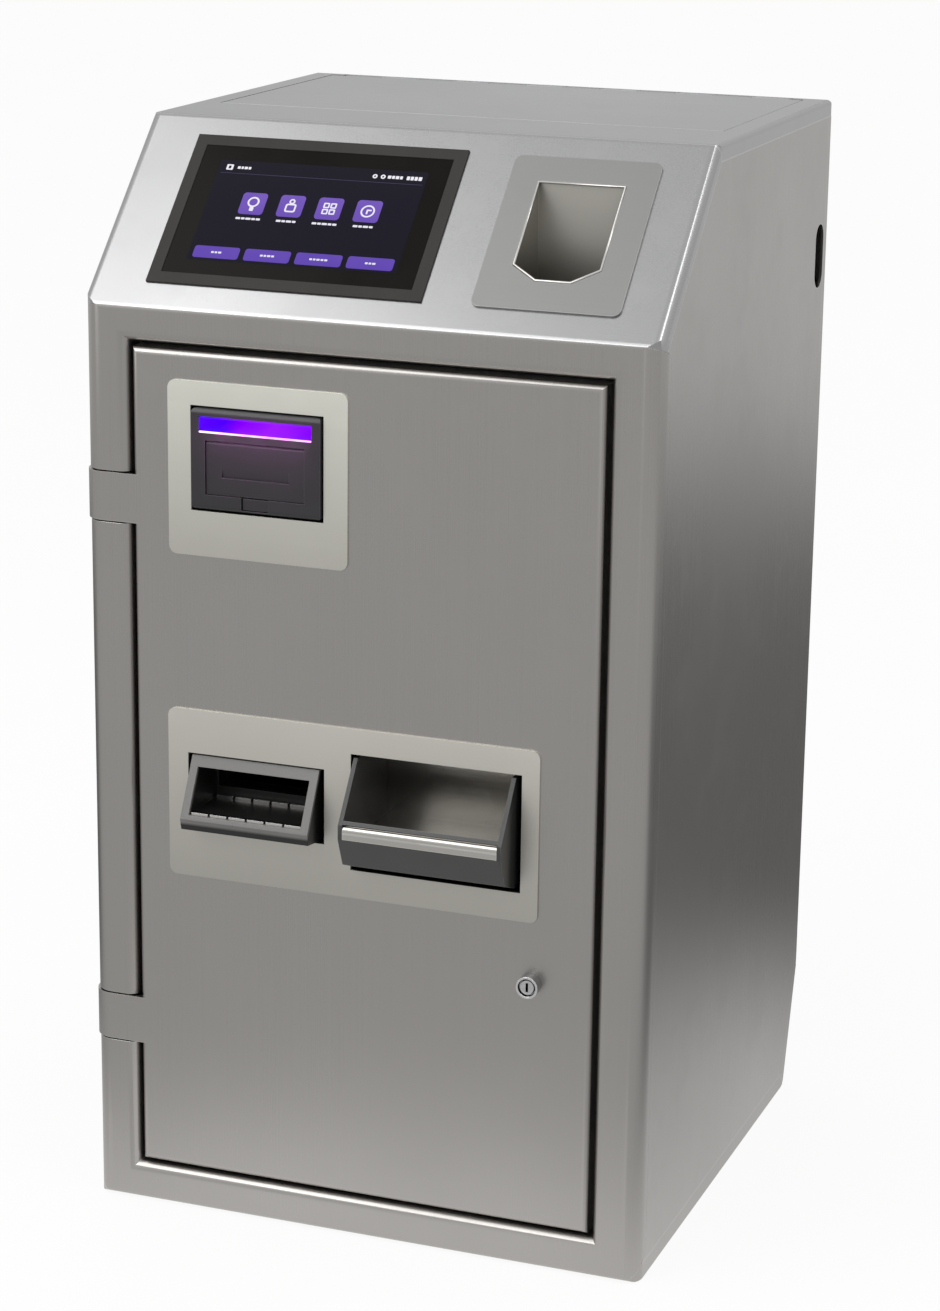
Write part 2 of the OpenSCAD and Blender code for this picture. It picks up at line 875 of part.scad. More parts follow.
module service_flap() {
    grip_depth = 1.6;
    grip_half = 25;
    grip_h = 9;
    grip_z = 553;
    mid = (flap_x[0] + flap_x[1]) / 2;
    color(dark_plastic) difference() {
        union() {
            span_box(flap_x, [flap_face_y, flap_face_y + flap_t], [flap_z[0], flap_axis_z]);
            cylinder_x(flap_x[0], flap_x[1], flap_axis_y, flap_axis_z, flap_pin_r);
        }
        along_x(mid - grip_half, mid + grip_half)
            polygon([[flap_face_y - cut, grip_z], [flap_face_y - cut, grip_z + grip_h],
                     [flap_face_y, grip_z + grip_h], [flap_face_y + grip_depth, grip_z]]);
    }
}

module flap_latch() {
    latch_back_y = front_y + 8;
    color(dark_plastic) span_box(latch_x, [flap_face_y, latch_back_y], latch_z);
}

// ---- note outlet ----

note_out_x = [-131, note_out_w - 131];
note_out_z = [297, note_out_h + 297];
outlet_x = [-128.5, -31.2];
outlet_z = [298.2, 350.5];
outlet_nose = 22;
outlet_chin = 20;
outlet_chin_z = 301;
outlet_nose_z = 309;
outlet_back_y = recycler_y[0];
outlet_path = [[front_y, outlet_z[0]], [front_y - outlet_chin, outlet_chin_z],
               [front_y - outlet_nose, outlet_nose_z], [front_y, outlet_z[1]],
               [outlet_back_y, outlet_z[1]], [outlet_back_y, outlet_z[0]]];
pocket_x = [-122.5, -37.2];
pocket_floor_z = 312;
pocket_back_y = front_y + 28;

module note_outlet_bezel() {
    pocket_top = 343;
    color([0.3, 0.3, 0.3]) difference() {
        along_x(outlet_x[0], outlet_x[1]) polygon(outlet_path);
        along_x(pocket_x[0], pocket_x[1])
            polygon([[front_y - outlet_nose - cut, pocket_floor_z],
                     [front_y - outlet_nose - cut, pocket_top], [pocket_back_y, pocket_top],
                     [pocket_back_y, pocket_floor_z]]);
        span_box(path_x, [pocket_back_y - cut, outlet_back_y + cut], outlet_gap_z);
    }
}

module note_guide_strips() {
    strips = 6;
    pitch = (pocket_x[1] - pocket_x[0]) / strips;
    finger_gap = 1.5;
    strip_w = 2.5;
    strip_h = 2;
    row_y = [front_y - 19, pocket_back_y - 4];
    color("white") for (y = row_y, i = [0 : strips - 1])
        span_box([pocket_x[0] + i * pitch + finger_gap, pocket_x[0] + (i + 1) * pitch],
            [y, y + strip_w], [pocket_floor_z, pocket_floor_z + strip_h]);
}

// ---- coin cup ----

cup_x = [-7, cup_w - 7];
cup_z = [280.7, cup_h + 280.7];
shell_x = [-5.4, 114.4];
cheek_t = 3.2;
cup_back_y = -150;
cup_front_y = front_y - 29;
cup_toe_y = front_y - 20;
cup_toe_z = 291;
cup_low = 283;
lip_z = [312, 322];
cup_top = 363;
cup_path = [[front_y, cup_low], [cup_toe_y, cup_toe_z], [cup_front_y, lip_z[0]],
            [cup_front_y, lip_z[1]], [front_y, cup_top], [cup_back_y, cup_top],
            [cup_back_y, cup_low]];
cup_wall = 2.5;
tray_x = [shell_x[0] + cheek_t, shell_x[1] - cheek_t];
tray_t = 1.5;
tray_floor = 306;

// Moulded cradle: floor, sloping front and two cheeks, open above and behind the tray
module coin_cup_shell() {
    inner = inset_points(cup_path, cup_wall);
    color([0.25, 0.25, 0.26]) difference() {
        along_x(shell_x[0], shell_x[1]) polygon(cup_path);
        along_x(tray_x[0], tray_x[1])
            polygon([inner[0], inner[1], inner[2], [inner[2].x, cab_h], [0, cab_h],
                     [0, inner[6].y]]);
        span_box(tray_x, [cup_front_y - cut, cup_front_y + cup_wall + cut],
            [lip_z[0] - tray_fit, lip_z[1] + cut]);
    }
}

tray_fit = 0.2;
roll_r = 4;

// Folded tray whose front edge is rolled over into a blunt lip between the cheeks
module coin_cup_tray() {
    back_top = 346;
    roll_y = cup_front_y + roll_r;
    roll_z = lip_z[1] - roll_r;
    front_wall_y = roll_y + roll_r;
    color(satin) along_x(tray_x[0], tray_x[1]) {
        difference() {
            union() {
                translate([roll_y, roll_z]) circle(roll_r);
                polygon(box_path(roll_y - roll_r, roll_y + roll_r, lip_z[0] + tray_fit, roll_z));
            }
            translate([roll_y, roll_z]) circle(roll_r - tray_t);
            polygon(box_path(roll_y - roll_r + tray_t, roll_y + roll_r - tray_t,
                lip_z[0] - cut, roll_z));
        }
        polygon(box_path(front_wall_y - tray_t, front_wall_y, tray_floor - tray_t, roll_z));
        polygon(box_path(front_wall_y - tray_t, cup_back_y, tray_floor - tray_t, tray_floor));
        polygon(box_path(cup_back_y - tray_t, cup_back_y, tray_floor, back_top));
    }
}

// ---- coin feeder, hopper and chute ----

feeder_x = [84, 158];
feeder_y = [-179, -12];
feeder_z = [556, 622];
feeder_disc_at = [121, -141];
feeder_disc_r = 32;
feeder_shaft_r = 5;

module coin_feeder_housing() {
    wall = 2.5;
    drop_side = 10;
    drop_y = [-52, -18];
    color(dark_plastic) difference() {
        span_box(feeder_x, feeder_y, feeder_z);
        span_box([feeder_x[0] + wall, feeder_x[1] - wall], [feeder_y[0] + wall, feeder_y[1] - wall],
            [feeder_z[0] + wall, feeder_z[1] + cut]);
        span_box([feeder_x[0] + drop_side, feeder_x[1] - drop_side], drop_y,
            [feeder_z[0] - cut, feeder_z[1]]);
        translate([feeder_disc_at.x, feeder_disc_at.y, feeder_z[0] - cut])
            cylinder(h = wall + 2 * cut, r = feeder_shaft_r + bore_gap);
    }
}

// Disc with coin pockets that turns on an upright shaft
module pocket_disc(at, z, r, pockets, pocket_r, shaft, shaft_drop) {
    thick = 5;
    rim = 3;
    hub_h = 5;
    color("white") translate([at.x, at.y, z]) {
        difference() {
            cylinder(h = thick, r = r);
            for (i = [0 : pockets - 1])
                rotate(i * 360 / pockets) translate([r - pocket_r - rim, 0, -cut])
                    cylinder(h = thick + 2 * cut, r = pocket_r);
        }
        translate([0, 0, -shaft_drop]) cylinder(h = shaft_drop, r = shaft);
        translate([0, 0, thick]) cylinder(h = hub_h, r = shaft);
    }
}

module coin_feeder_disc() {
    disc_lift = 3.5;
    pockets = 5;
    pocket_r = 8;
    shaft_drop = 12;
    pocket_disc(feeder_disc_at, feeder_z[0] + disc_lift, feeder_disc_r, pockets, pocket_r,
        feeder_shaft_r, shaft_drop);
}

hopper_x = [-6, 152];
hopper_y = [-90, 110];
hopper_z = [coin_shelf_z + sheet_t, 530];
hopper_floor = 410;
hopper_disc_at = [73, -8];
hopper_disc_r = 62;
chute_x = [20, 90];

module coin_hopper() {
    wall = 3;
    exit_x = [30, 80];
    exit_h = 8;
    socket = 8;
    color(dark_plastic) difference() {
        span_box(hopper_x, hopper_y, hopper_z);
        span_box([hopper_x[0] + wall, hopper_x[1] - wall], [hopper_y[0] + wall, hopper_y[1] - wall],
            [hopper_floor, hopper_z[1] + cut]);
        span_box(exit_x, [hopper_y[0] - cut, hopper_y[0] + wall + cut],
            [hopper_floor, hopper_floor + exit_h]);
        translate([hopper_disc_at.x, hopper_disc_at.y, hopper_z[0] + socket])
            cylinder(h = hopper_floor, r = feeder_shaft_r + bore_gap);
    }
}

module coin_hopper_disc() {
    disc_lift = 0.6;
    pockets = 6;
    pocket_r = 14;
    shaft_drop = 20;
    pocket_disc(hopper_disc_at, hopper_floor + disc_lift, hopper_disc_r, pockets, pocket_r,
        feeder_shaft_r, shaft_drop);
}

// Sloping gutter from the hopper exit, through the shelf, over the back of the cup tray
module coin_chute() {
    top_y = hopper_y[0];
    wall = 1.5;
    side_h = 12;
    low_z = 349;
    color(zinc) {
        along_x(chute_x[0], chute_x[1])
            polygon([[cup_back_y, low_z], [cup_back_y, low_z + wall], [top_y, hopper_floor],
                     [top_y, hopper_floor - wall]]);
        for (x = [chute_x[0] - wall, chute_x[1]])
            along_x(x, x + wall)
                polygon([[cup_back_y, low_z], [cup_back_y, low_z + side_h],
                         [top_y, hopper_floor + side_h], [top_y, hopper_floor - wall]]);
    }
}

// ---- electrics ----

supply_x = [-136, -36];
supply_z = [300, 380];
supply_depth = 55;
controller_x = [-140, 20];
controller_z = [430, 560];
controller_depth = 40;

module power_supply() {
    color(zinc) span_box(supply_x, [rear_y - sheet_t - supply_depth, rear_y - sheet_t], supply_z);
}

module controller_box() {
    color([0.1, 0.1, 0.12])
        span_box(controller_x, [rear_y - sheet_t - controller_depth, rear_y - sheet_t],
            controller_z);
}

cage_t = 1.8;
switch_axis_y = rear_y - 2;
rocker_pin_r = 1.5;

module rear_block(w, h, z, y) {
    span_box([inlet_x - w / 2, inlet_x + w / 2], y, [z - h / 2, z + h / 2]);
}

// Mains appliance inlet with the cage of the rocker switch, on one flange
module mains_inlet() {
    flange_w = 34;
    flange_z = [inlet_z - 14, switch_z + 12];
    flange_y = [rear_y, rear_y + 2];
    slack = 0.4;
    wall = 2;
    body = 24;
    socket = 18;
    cage_depth = 14;
    color([0.06, 0.06, 0.06]) difference() {
        union() {
            span_box([inlet_x - flange_w / 2, inlet_x + flange_w / 2], flange_y, flange_z);
            rear_block(inlet_w - slack, inlet_h - slack, inlet_z, [rear_y - body, rear_y]);
            rear_block(switch_w + 2 * cage_t, switch_h + 2 * cage_t, switch_z,
                [rear_y - cage_depth, rear_y]);
        }
        rear_block(inlet_w - 2 * wall, inlet_h - 2 * wall, inlet_z,
            [rear_y - socket, flange_y[1] + cut]);
        rear_block(switch_w, switch_h, switch_z, [0, flange_y[1] + cut]);
        cylinder_x(inlet_x - switch_w, inlet_x + switch_w, switch_axis_y, switch_z,
            rocker_pin_r + bore_gap);
    }
}

// Rocker on two trunnions, tipped to its off position
module mains_switch() {
    tip = 8;
    root = 7.5;
    root_half = 2.5;
    nose = 5.5;
    dish = 4;
    shoulder = 3;
    half = switch_h / 2 - 1;
    rocker_w = switch_w - 1.2;
    pin_over = 1.2;
    color([0.6, 0.05, 0.05]) {
        along_x(inlet_x - rocker_w / 2, inlet_x + rocker_w / 2)
            translate([switch_axis_y, switch_z]) rotate(-tip)
            polygon([[-root, -root_half], [-root, root_half], [shoulder, half],
                     [nose, half - 0.5], [dish, 0], [nose, 0.5 - half], [shoulder, -half]]);
        cylinder_x(inlet_x - switch_w / 2 - pin_over, inlet_x + switch_w / 2 + pin_over,
            switch_axis_y, switch_z, rocker_pin_r);
    }
}

// ---- door ----

square_r = 0.01;

// Cross-section of the door pan with its two rolled front edges
module pan_section(lo, hi, y0, y1, r) {
    rounded_polygon(box_path(lo, hi, y0, y1), [r, square_r, square_r, r]);
}

module pan_block(d, y1) {
    edge = door_edge_r - d;
    intersection() {
        linear_extrude(far) pan_section(-door_x + d, door_x - d, front_y + d, y1, edge);
        along_x(-cab_w, cab_w) rotate(90) mirror([0, 1])
            pan_section(door_z0 + d, door_z1 - d, front_y + d, y1, edge);
    }
}

module strap(z) {
    translate([0, 0, z]) linear_extrude(strap_h) {
        translate([hinge_x, hinge_y]) difference() {
            circle(strap_r);
            circle(strap_r - strap_t);
            polygon(box_path(0, 2 * strap_r, -2 * strap_r, 2 * strap_r));
        }
        polygon(box_path(hinge_x, -door_x + door_edge_r + cut, front_y, front_y + strap_t));
    }
}

stud_r = 2;
stud_gap = 0.1;
nut_r = 4.3;
nut_t = 3.2;
valve_x = [-144, -10];
valve_z = [496, 619];
payout_x = [-146.3, 131.8];
payout_z = [260, 384];
stud_inset = 9;

function corner_studs(x, z) = [for (sx = [x[0] + stud_inset, x[1] - stud_inset],
    sz = [z[0] + stud_inset, z[1] - stud_inset]) [sx, sz]];
stud_places = concat(corner_studs(valve_x, valve_z), corner_studs(payout_x, payout_z));

module door_cutouts() {
    span_box(note_in_x, [front_y - outset, rear_y], note_in_z);
    span_box(note_out_x, [front_y - outset, rear_y], note_out_z);
    span_box(cup_x, [front_y - outset, rear_y], cup_z);
}

lock_barrel_r = 7;

module door_panel() {
    color(steel) difference() {
        union() {
            difference() {
                pan_block(0, front_y + door_depth);
                pan_block(sheet_t, front_y + door_depth + cut);
            }
            for (z = strap_z) strap(z);
        }
        door_cutouts();
        cylinder_y(front_y - cut, front_y + 2 * sheet_t, lock_x, lock_z,
            lock_barrel_r + bore_gap);
        for (p = stud_places)
            cylinder_y(front_y - cut, front_y + 2 * sheet_t, p[0], p[1], stud_r + stud_gap);
    }
}

module hinge_knuckles() {
    color(zinc) for (z = strap_z)
        translate([hinge_x, hinge_y, z]) difference() {
            cylinder(h = strap_h, r = strap_r - strap_t);
            translate([0, 0, -cut]) cylinder(h = strap_h + 2 * cut, r = hinge_pin_r + bore_gap);
        }
}

module validator_plate() {
    color(satin) difference() {
        rounded_plate(valve_x, valve_z, [front_y - plate_t, front_y], plate_r);
        door_cutouts();
    }
}

module payout_plate() {
    color(satin) difference() {
        rounded_plate(payout_x, payout_z, [front_y - plate_t, front_y], plate_r);
        door_cutouts();
    }
}

module plate_studs() {
    stud_len = 12;
    color(zinc) for (p = stud_places) {
        cylinder_y(front_y, front_y + stud_len, p[0], p[1], stud_r);
        translate([p[0], inner_y, p[1]]) rotate([-90, 0, 0]) cylinder(h = nut_t, r = nut_r, $fn = 6);
    }
}

// ---- door lock ----

lock_head_r = 8;
lock_head = 9;
plug_r = 5;
tail_r = 3.5;
lock_tail_y = cam_y[0] - 1;
face_recess = 1;
groove_r = 6.4;
groove_depth = 3;

module lock_body() {
    lock_nut_r = 12;
    lock_nut_t = 4;
    color("silver") difference() {
        union() {
            cylinder_y(front_y - lock_head, front_y, lock_x, lock_z, lock_head_r);
            cylinder_y(front_y, lock_tail_y, lock_x, lock_z, lock_barrel_r);
            translate([lock_x, inner_y, lock_z]) rotate([-90, 0, 0])
                cylinder(h = lock_nut_t, r = lock_nut_r, $fn = 6);
        }
        cylinder_y(front_y - lock_head - cut, lock_tail_y + cut, lock_x, lock_z,
            plug_r + bore_gap);
        cylinder_y(front_y - lock_head - cut, front_y - lock_head + groove_depth, lock_x, lock_z,
            groove_r);
    }
}

module lock_plug() {
    key_w = 1.8;
    key_h = 6.5;
    key_depth = 16;
    face_y = front_y - lock_head + face_recess;
    color("silver") difference() {
        union() {
            cylinder_y(face_y, cam_y[0], lock_x, lock_z, plug_r);
            cylinder_y(cam_y[0], cam_y[1] + cam_t, lock_x, lock_z, tail_r);
        }
        span_box([lock_x - key_w / 2, lock_x + key_w / 2], [face_y - cut, face_y + key_depth],
            [lock_z - key_h / 2, lock_z + key_h / 2]);
    }
}

module lock_cam() {
    cam_w = 16;
    tip = lock_z - cam_reach;
    color(zinc) along_y(cam_y[0], cam_y[1]) difference() {
        round_slot(lock_x, tip, lock_z + cam_w / 2, cam_w / 2);
        translate([lock_x, lock_z]) circle(tail_r + pin_fit);
    }
}

base_plate();
left_side_panel();
right_side_panel();
rear_panel();
front_frame();
console_panel();
top_panel();
hinge_brackets();
hinge_pins();
strike_plate();
door_gasket();
chassis_left_wall();
chassis_centre_wall();
chassis_right_wall();
note_shelf();
coin_shelf();
note_cashbox();
coin_cashbox();
cashbox_handles();
recycler_housing();
recycler_drum();
validator_lower_housing();
validator_upper_housing();
front_note_roller();
rear_note_roller();
roller_drive_belt();
validator_bezel();
led_light_guide();
service_flap();
flap_latch();
note_outlet_bezel();
note_guide_strips();
coin_cup_shell();
coin_cup_tray();
coin_inlet_plate();
coin_funnel();
coin_feeder_housing();
coin_feeder_disc();
coin_hopper();
coin_hopper_disc();
coin_chute();
screen_bezel();
touch_glass();
lcd_panel();
monitor_housing();
power_supply();
controller_box();
mains_inlet();
mains_switch();
lid_hinge_leaf();
lid_hinge_pin();
door_panel();
hinge_knuckles();
validator_plate();
payout_plate();
plate_studs();
lock_body();
lock_plug();
lock_cam();
service_lid();
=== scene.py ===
import math

import bmesh
import bpy
from mathutils import Matrix, Vector


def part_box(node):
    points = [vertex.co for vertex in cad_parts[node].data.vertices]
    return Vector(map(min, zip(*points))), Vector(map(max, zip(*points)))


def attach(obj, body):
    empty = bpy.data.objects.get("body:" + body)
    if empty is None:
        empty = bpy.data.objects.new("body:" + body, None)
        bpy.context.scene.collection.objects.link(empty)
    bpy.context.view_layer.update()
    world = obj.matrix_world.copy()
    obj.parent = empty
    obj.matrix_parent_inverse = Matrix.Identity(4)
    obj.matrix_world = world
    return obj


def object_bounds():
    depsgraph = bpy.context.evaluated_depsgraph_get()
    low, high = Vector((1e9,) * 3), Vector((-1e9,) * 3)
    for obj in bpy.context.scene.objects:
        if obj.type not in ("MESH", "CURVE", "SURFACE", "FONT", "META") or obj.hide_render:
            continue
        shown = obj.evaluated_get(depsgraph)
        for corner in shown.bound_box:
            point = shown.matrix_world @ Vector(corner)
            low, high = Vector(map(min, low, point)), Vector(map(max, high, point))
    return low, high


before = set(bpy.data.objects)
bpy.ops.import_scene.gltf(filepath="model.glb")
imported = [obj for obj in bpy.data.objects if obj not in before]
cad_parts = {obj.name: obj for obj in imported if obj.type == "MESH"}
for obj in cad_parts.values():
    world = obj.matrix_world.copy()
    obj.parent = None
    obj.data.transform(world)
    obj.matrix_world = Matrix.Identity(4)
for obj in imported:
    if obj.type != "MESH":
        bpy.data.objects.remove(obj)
cad_lo, cad_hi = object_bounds()
# The kiosk's finishes, display picture, lit note slot, inlet bead, lights and camera, in metres.
MM = 0.001

# ---------------------------------------------------------------- shader helpers


class Nodes:
    """Adds nodes and links to one node tree, with short calls."""

    def __init__(self, tree):
        self.tree = tree

    def node(self, kind, inputs=None, **settings):
        made = self.tree.nodes.new(kind)
        for key, value in settings.items():
            setattr(made, key, value)
        for key, value in (inputs or {}).items():
            self.put(made.inputs[key], value)
        return made

    def put(self, socket, value):
        """Links a socket to another, or sets its value."""
        if isinstance(value, bpy.types.NodeSocket):
            self.tree.links.new(value, socket)
        else:
            socket.default_value = value

    def coords(self, scale=(1, 1, 1)):
        place = self.node("ShaderNodeTexCoord").outputs["Object"]
        return self.node("ShaderNodeMapping", {"Vector": place, "Scale": scale}).outputs["Vector"]

    def axes(self, vector):
        """The X, Y and Z outputs of a vector."""
        return self.node("ShaderNodeSeparateXYZ", {0: vector}).outputs

    def dot(self, one, two):
        made = self.node("ShaderNodeVectorMath", {0: one, 1: two}, operation="DOT_PRODUCT")
        return made.outputs["Value"]

    def noise(self, vector, scale=1.0, detail=3.0, rough=0.5):
        return self.node("ShaderNodeTexNoise",
                         {"Vector": vector, "Scale": scale, "Detail": detail,
                          "Roughness": rough}).outputs["Fac"]

    def remap(self, value, lo, hi, from_lo=0.3, from_hi=0.7, **settings):
        return self.node("ShaderNodeMapRange",
                         {"Value": value, "From Min": from_lo, "From Max": from_hi,
                          "To Min": lo, "To Max": hi}, **settings).outputs["Result"]

    def smooth(self, value, start, end):
        """Rises smoothly from 0 at the start to 1 at the end."""
        return self.remap(value, 0.0, 1.0, start, end, interpolation_type="SMOOTHSTEP")

    def lerp(self, factor, one, two):
        """Number between one (factor 0) and two (factor 1)."""
        mix = self.node("ShaderNodeMix", data_type="FLOAT")
        self.put(mix.inputs["Factor"], factor)
        self.put(mix.inputs[2], one)
        self.put(mix.inputs[3], two)
        return mix.outputs[0]

    def blend(self, factor, one, two, mode="MIX"):
        """Colour between one (factor 0) and two (factor 1)."""
        mix = self.node("ShaderNodeMix", data_type="RGBA", blend_type=mode)
        self.put(mix.inputs["Factor"], factor)
        self.put(mix.inputs["A"], one)
        self.put(mix.inputs["B"], two)
        return mix.outputs["Result"]

    def add(self, one, two):
        return self.node("ShaderNodeMath", {0: one, 1: two}, operation="ADD").outputs[0]

    def bump(self, height, strength, distance):
        return self.node("ShaderNodeBump",
                         {"Height": height, "Strength": strength,
                          "Distance": distance}).outputs["Normal"]


class Shader(Nodes):
    """One material with a Principled shader."""

    def __init__(self, name):
        self.mat = bpy.data.materials.new(name)
        self.mat.use_nodes = True
        super().__init__(self.mat.node_tree)
        self.bsdf = self.tree.nodes["Principled BSDF"]

    def set(self, **values):
        """Sets Principled inputs, with _ for each space in a name."""
        for key, value in values.items():
            self.put(self.bsdf.inputs[key.replace("_", " ")], value)


def rgba(color, gain=1.0):
    return (color[0] * gain, color[1] * gain, color[2] * gain, 1.0)


def edge_mask(s, radius):
    """White where the surface turns a corner tighter than the radius."""
    rounded_normal = s.node("ShaderNodeBevel", {"Radius": radius}, samples=4).outputs["Normal"]
    flat_normal = s.node("ShaderNodeNewGeometry").outputs["Normal"]
    sharp, flat = 0.75, 0.99
    return s.remap(s.dot(rounded_normal, flat_normal), 1.0, 0.0, sharp, flat)


def shaded_hollow(s, tint, deep, distance):
    """Darkens a colour towards deep inside pockets narrower than the distance."""
    open_sky = s.node("ShaderNodeAmbientOcclusion", {"Distance": distance}, samples=6)
    return s.blend(s.remap(open_sky.outputs["AO"], 0.0, 1.0, 0.4, 0.95), deep, tint)


def behind_front(s, node, start, full, tilt=0.0):
    """Rises from 0 to 1 with depth behind a node's foremost face, or its largest tilted one."""
    turned = [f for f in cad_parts[node].data.polygons
              if f.normal.y < -0.5 and f.normal.z >= tilt]
    face = max(turned, key=lambda f: f.area if tilt else -f.center.y)
    level = face.center.dot(face.normal)
    return s.remap(s.dot(s.coords(), face.normal), 0.0, 1.0, level - start, level - full)


def ramp(s, factor, stops):
    """Colour ramp with (position, colour) stops."""
    made = s.node("ShaderNodeValToRGB", {"Fac": factor})
    line = made.color_ramp.elements
    while len(line) < len(stops):
        line.new(0.5)
    for element, (place, color) in zip(line, stops):
        element.position = place
        element.color = rgba(color)
    return made.outputs["Color"]


# ---------------------------------------------------------------- finishes


def brushed_metal(name, color, grain, rough=0.3, streak=0.013, hollow=0.0, deep=0.25, fade=""):
    """Brushed metal: grain gives how fine the lines are along X, Y and Z.

    hollow is the width of the pockets that get painted shade towards deep.
    fade names a node whose colour is painted darker at its foot and lighter at its top, as painted
    light and shade.
    """
    broad_grain = [g * 0.12 for g in grain]
    stained = rgba(color, 0.86)
    # Colour of the painted highlight along tight edges.
    painted_edge_highlight = rgba([min(c * 1.45, 0.95) for c in color])
    smudge = 0.04
    s = Shader(name)
    lines = s.noise(s.coords(grain), detail=5.0, rough=0.6)
    soft = s.noise(s.coords(broad_grain), detail=3.0, rough=0.55)
    broad = s.noise(s.coords((3.5, 3.5, 2.5)), detail=4.0, rough=0.5)
    hands = s.noise(s.coords((26, 26, 26)), detail=6.0, rough=0.6)
    tint = s.blend(s.remap(lines, 0.0, 1.0), rgba(color, 1 - streak), rgba(color, 1 + streak))
    tint = s.blend(s.remap(soft, 0.0, 0.5), tint, rgba(color, 1 - streak))
    tint = s.blend(s.remap(broad, 0.0, 0.5), tint, stained)
    # Painted highlight: edges tighter than 1.2 mm are painted brighter.
    tint = s.blend(edge_mask(s, 1.2 * MM), tint, painted_edge_highlight)
    if hollow:
        tint = shaded_hollow(s, tint, rgba(color, deep), hollow)
    # Painted light and shade: darker at the node's foot, lighter at its top.
    if fade:
        foot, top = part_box(fade)
        tint = s.blend(s.remap(s.axes(s.coords())[2], 0.0, 1.0, foot.z, top.z),
                       rgba([c * 0.8 for c in color]),
                       rgba([min(c * 1.16, 0.97) for c in color]))
    polish = s.add(s.remap(lines, rough - 0.04, rough + 0.04), s.remap(broad, -0.03, 0.03))
    polish = s.add(polish, s.remap(hands, 0.0, smudge, 0.5, 0.75))
    s.set(Base_Color=tint, Metallic=1.0, Roughness=polish,
          Normal=s.bump(lines, strength=0.02, distance=0.3 * MM))
    return s.mat


def lock_metal(name, node, bright, dark):
    """Polished front face, and a darker colour behind it: darker plating on the barrel, with
    painted shade in the groove and round the plug.
    """
    s = Shader(name)
    marks = s.noise(s.coords((900, 60, 900)), detail=4.0)
    # Painted darker behind the front face: partly plating, partly painted shade in the groove and
    # round the plug.
    tint = s.blend(behind_front(s, node, 0.3 * MM, 0.9 * MM), rgba(bright), rgba(dark))
    s.set(Base_Color=s.blend(s.remap(marks, 0.0, 0.4), tint, rgba(dark)), Metallic=1.0,
          Roughness=s.remap(marks, 0.1, 0.18))
    return s.mat


def moulded_plastic(name, color, rough, edge_highlight=1.8, hollow=0.0, pocket="", top_highlight=0.0):
    """Moulded plastic or powder coat, with a fine grain.

    edge_highlight paints a highlight on the edges, and top_highlight paints what faces up lighter
    as a highlight.
    hollow is the width of the pockets that get painted shade.
    pocket names a node whose inside gets painted shade behind its largest tilted face.
    """
    s = Shader(name)
    fine = s.noise(s.coords(), scale=1400.0, detail=2.0)
    broad = s.noise(s.coords(), scale=14.0, detail=4.0)
    tint = s.blend(s.remap(broad, 0.0, 1.0), rgba(color, 0.88), rgba(color, 1.12))
    # Painted highlight: edges are painted brighter.
    if edge_highlight:
        tint = s.blend(edge_mask(s, 0.8 * MM), tint, rgba(color, edge_highlight))
    # Painted highlight: what faces up is painted lighter.
    if top_highlight:
        up = s.axes(s.node("ShaderNodeNewGeometry").outputs["Normal"])[2]
        tint = s.blend(s.remap(up, 0.0, top_highlight, 0.1, 0.9), tint, rgba(TOP_HIGHLIGHT_TINT))
    if hollow:
        tint = shaded_hollow(s, tint, rgba(color, 0.12), hollow)
    # Painted shade deep inside the pocket, behind its front face.
    if pocket:
        depth = behind_front(s, pocket, 1.5 * MM, 3 * MM, tilt=0.15)
        tint = s.blend(depth, tint, rgba(color, 0.07))
    s.set(Base_Color=tint, Roughness=s.remap(broad, rough - 0.05, rough + 0.07),
          Normal=s.bump(fine, strength=0.2, distance=0.1 * MM))
    return s.mat


def dark_glass(name, color, rough, gloss):
    """Coated glass: faint smears, and a weak reflection set on the shader itself."""
    s = Shader(name)
    smears = s.noise(s.coords((30, 12, 12)), detail=5.0)
    s.set(Base_Color=s.blend(s.remap(smears, 0.0, 1.0), rgba(color, 0.9), rgba(color, 1.15)),
          Roughness=s.remap(smears, rough - 0.03, rough + 0.06), Specular_IOR_Level=gloss)
    return s.mat


def plated_metal(name, color, rough):
    """Zinc plating with a faint pattern of crystals."""
    s = Shader(name)
    cells = s.node("ShaderNodeTexVoronoi", {"Vector": s.coords(), "Scale": 160.0}).outputs["Color"]
    broad = s.noise(s.coords(), scale=12.0, detail=4.0)
    tint = s.blend(s.remap(broad, 0.0, 1.0), rgba(color, 0.88), rgba(color, 1.08))
    s.set(Base_Color=s.blend(0.06, tint, cells, "OVERLAY"), Metallic=0.9,
          Roughness=s.remap(broad, rough - 0.05, rough + 0.08))
    return s.mat


def lit_surface(name, stops, strength, lo, hi, along=0, rough=0.25, gloss=0.5):
    """Lit plastic or display whose colour runs between two stations along one axis."""
    s = Shader(name)
    place = s.remap(s.axes(s.coords())[along], 0.0, 1.0, lo, hi)
    patch = s.remap(s.noise(s.coords(), scale=60.0, detail=3.0), -0.06, 0.06)
    color = ramp(s, s.add(place, patch), stops)
    s.set(Base_Color=(0.01, 0.01, 0.012, 1), Emission_Color=color, Emission_Strength=strength,
          Roughness=rough, Specular_IOR_Level=gloss)
    return s.mat


def display_light(name, stops):
    """Lit picture on the sloping glass, whose colour runs up the slope."""
    return lit_surface(name, stops, 1.0, slope_lo.z, slope_hi.z, along=2, rough=0.2, gloss=0.02)


# ---------------------------------------------------------------- materials

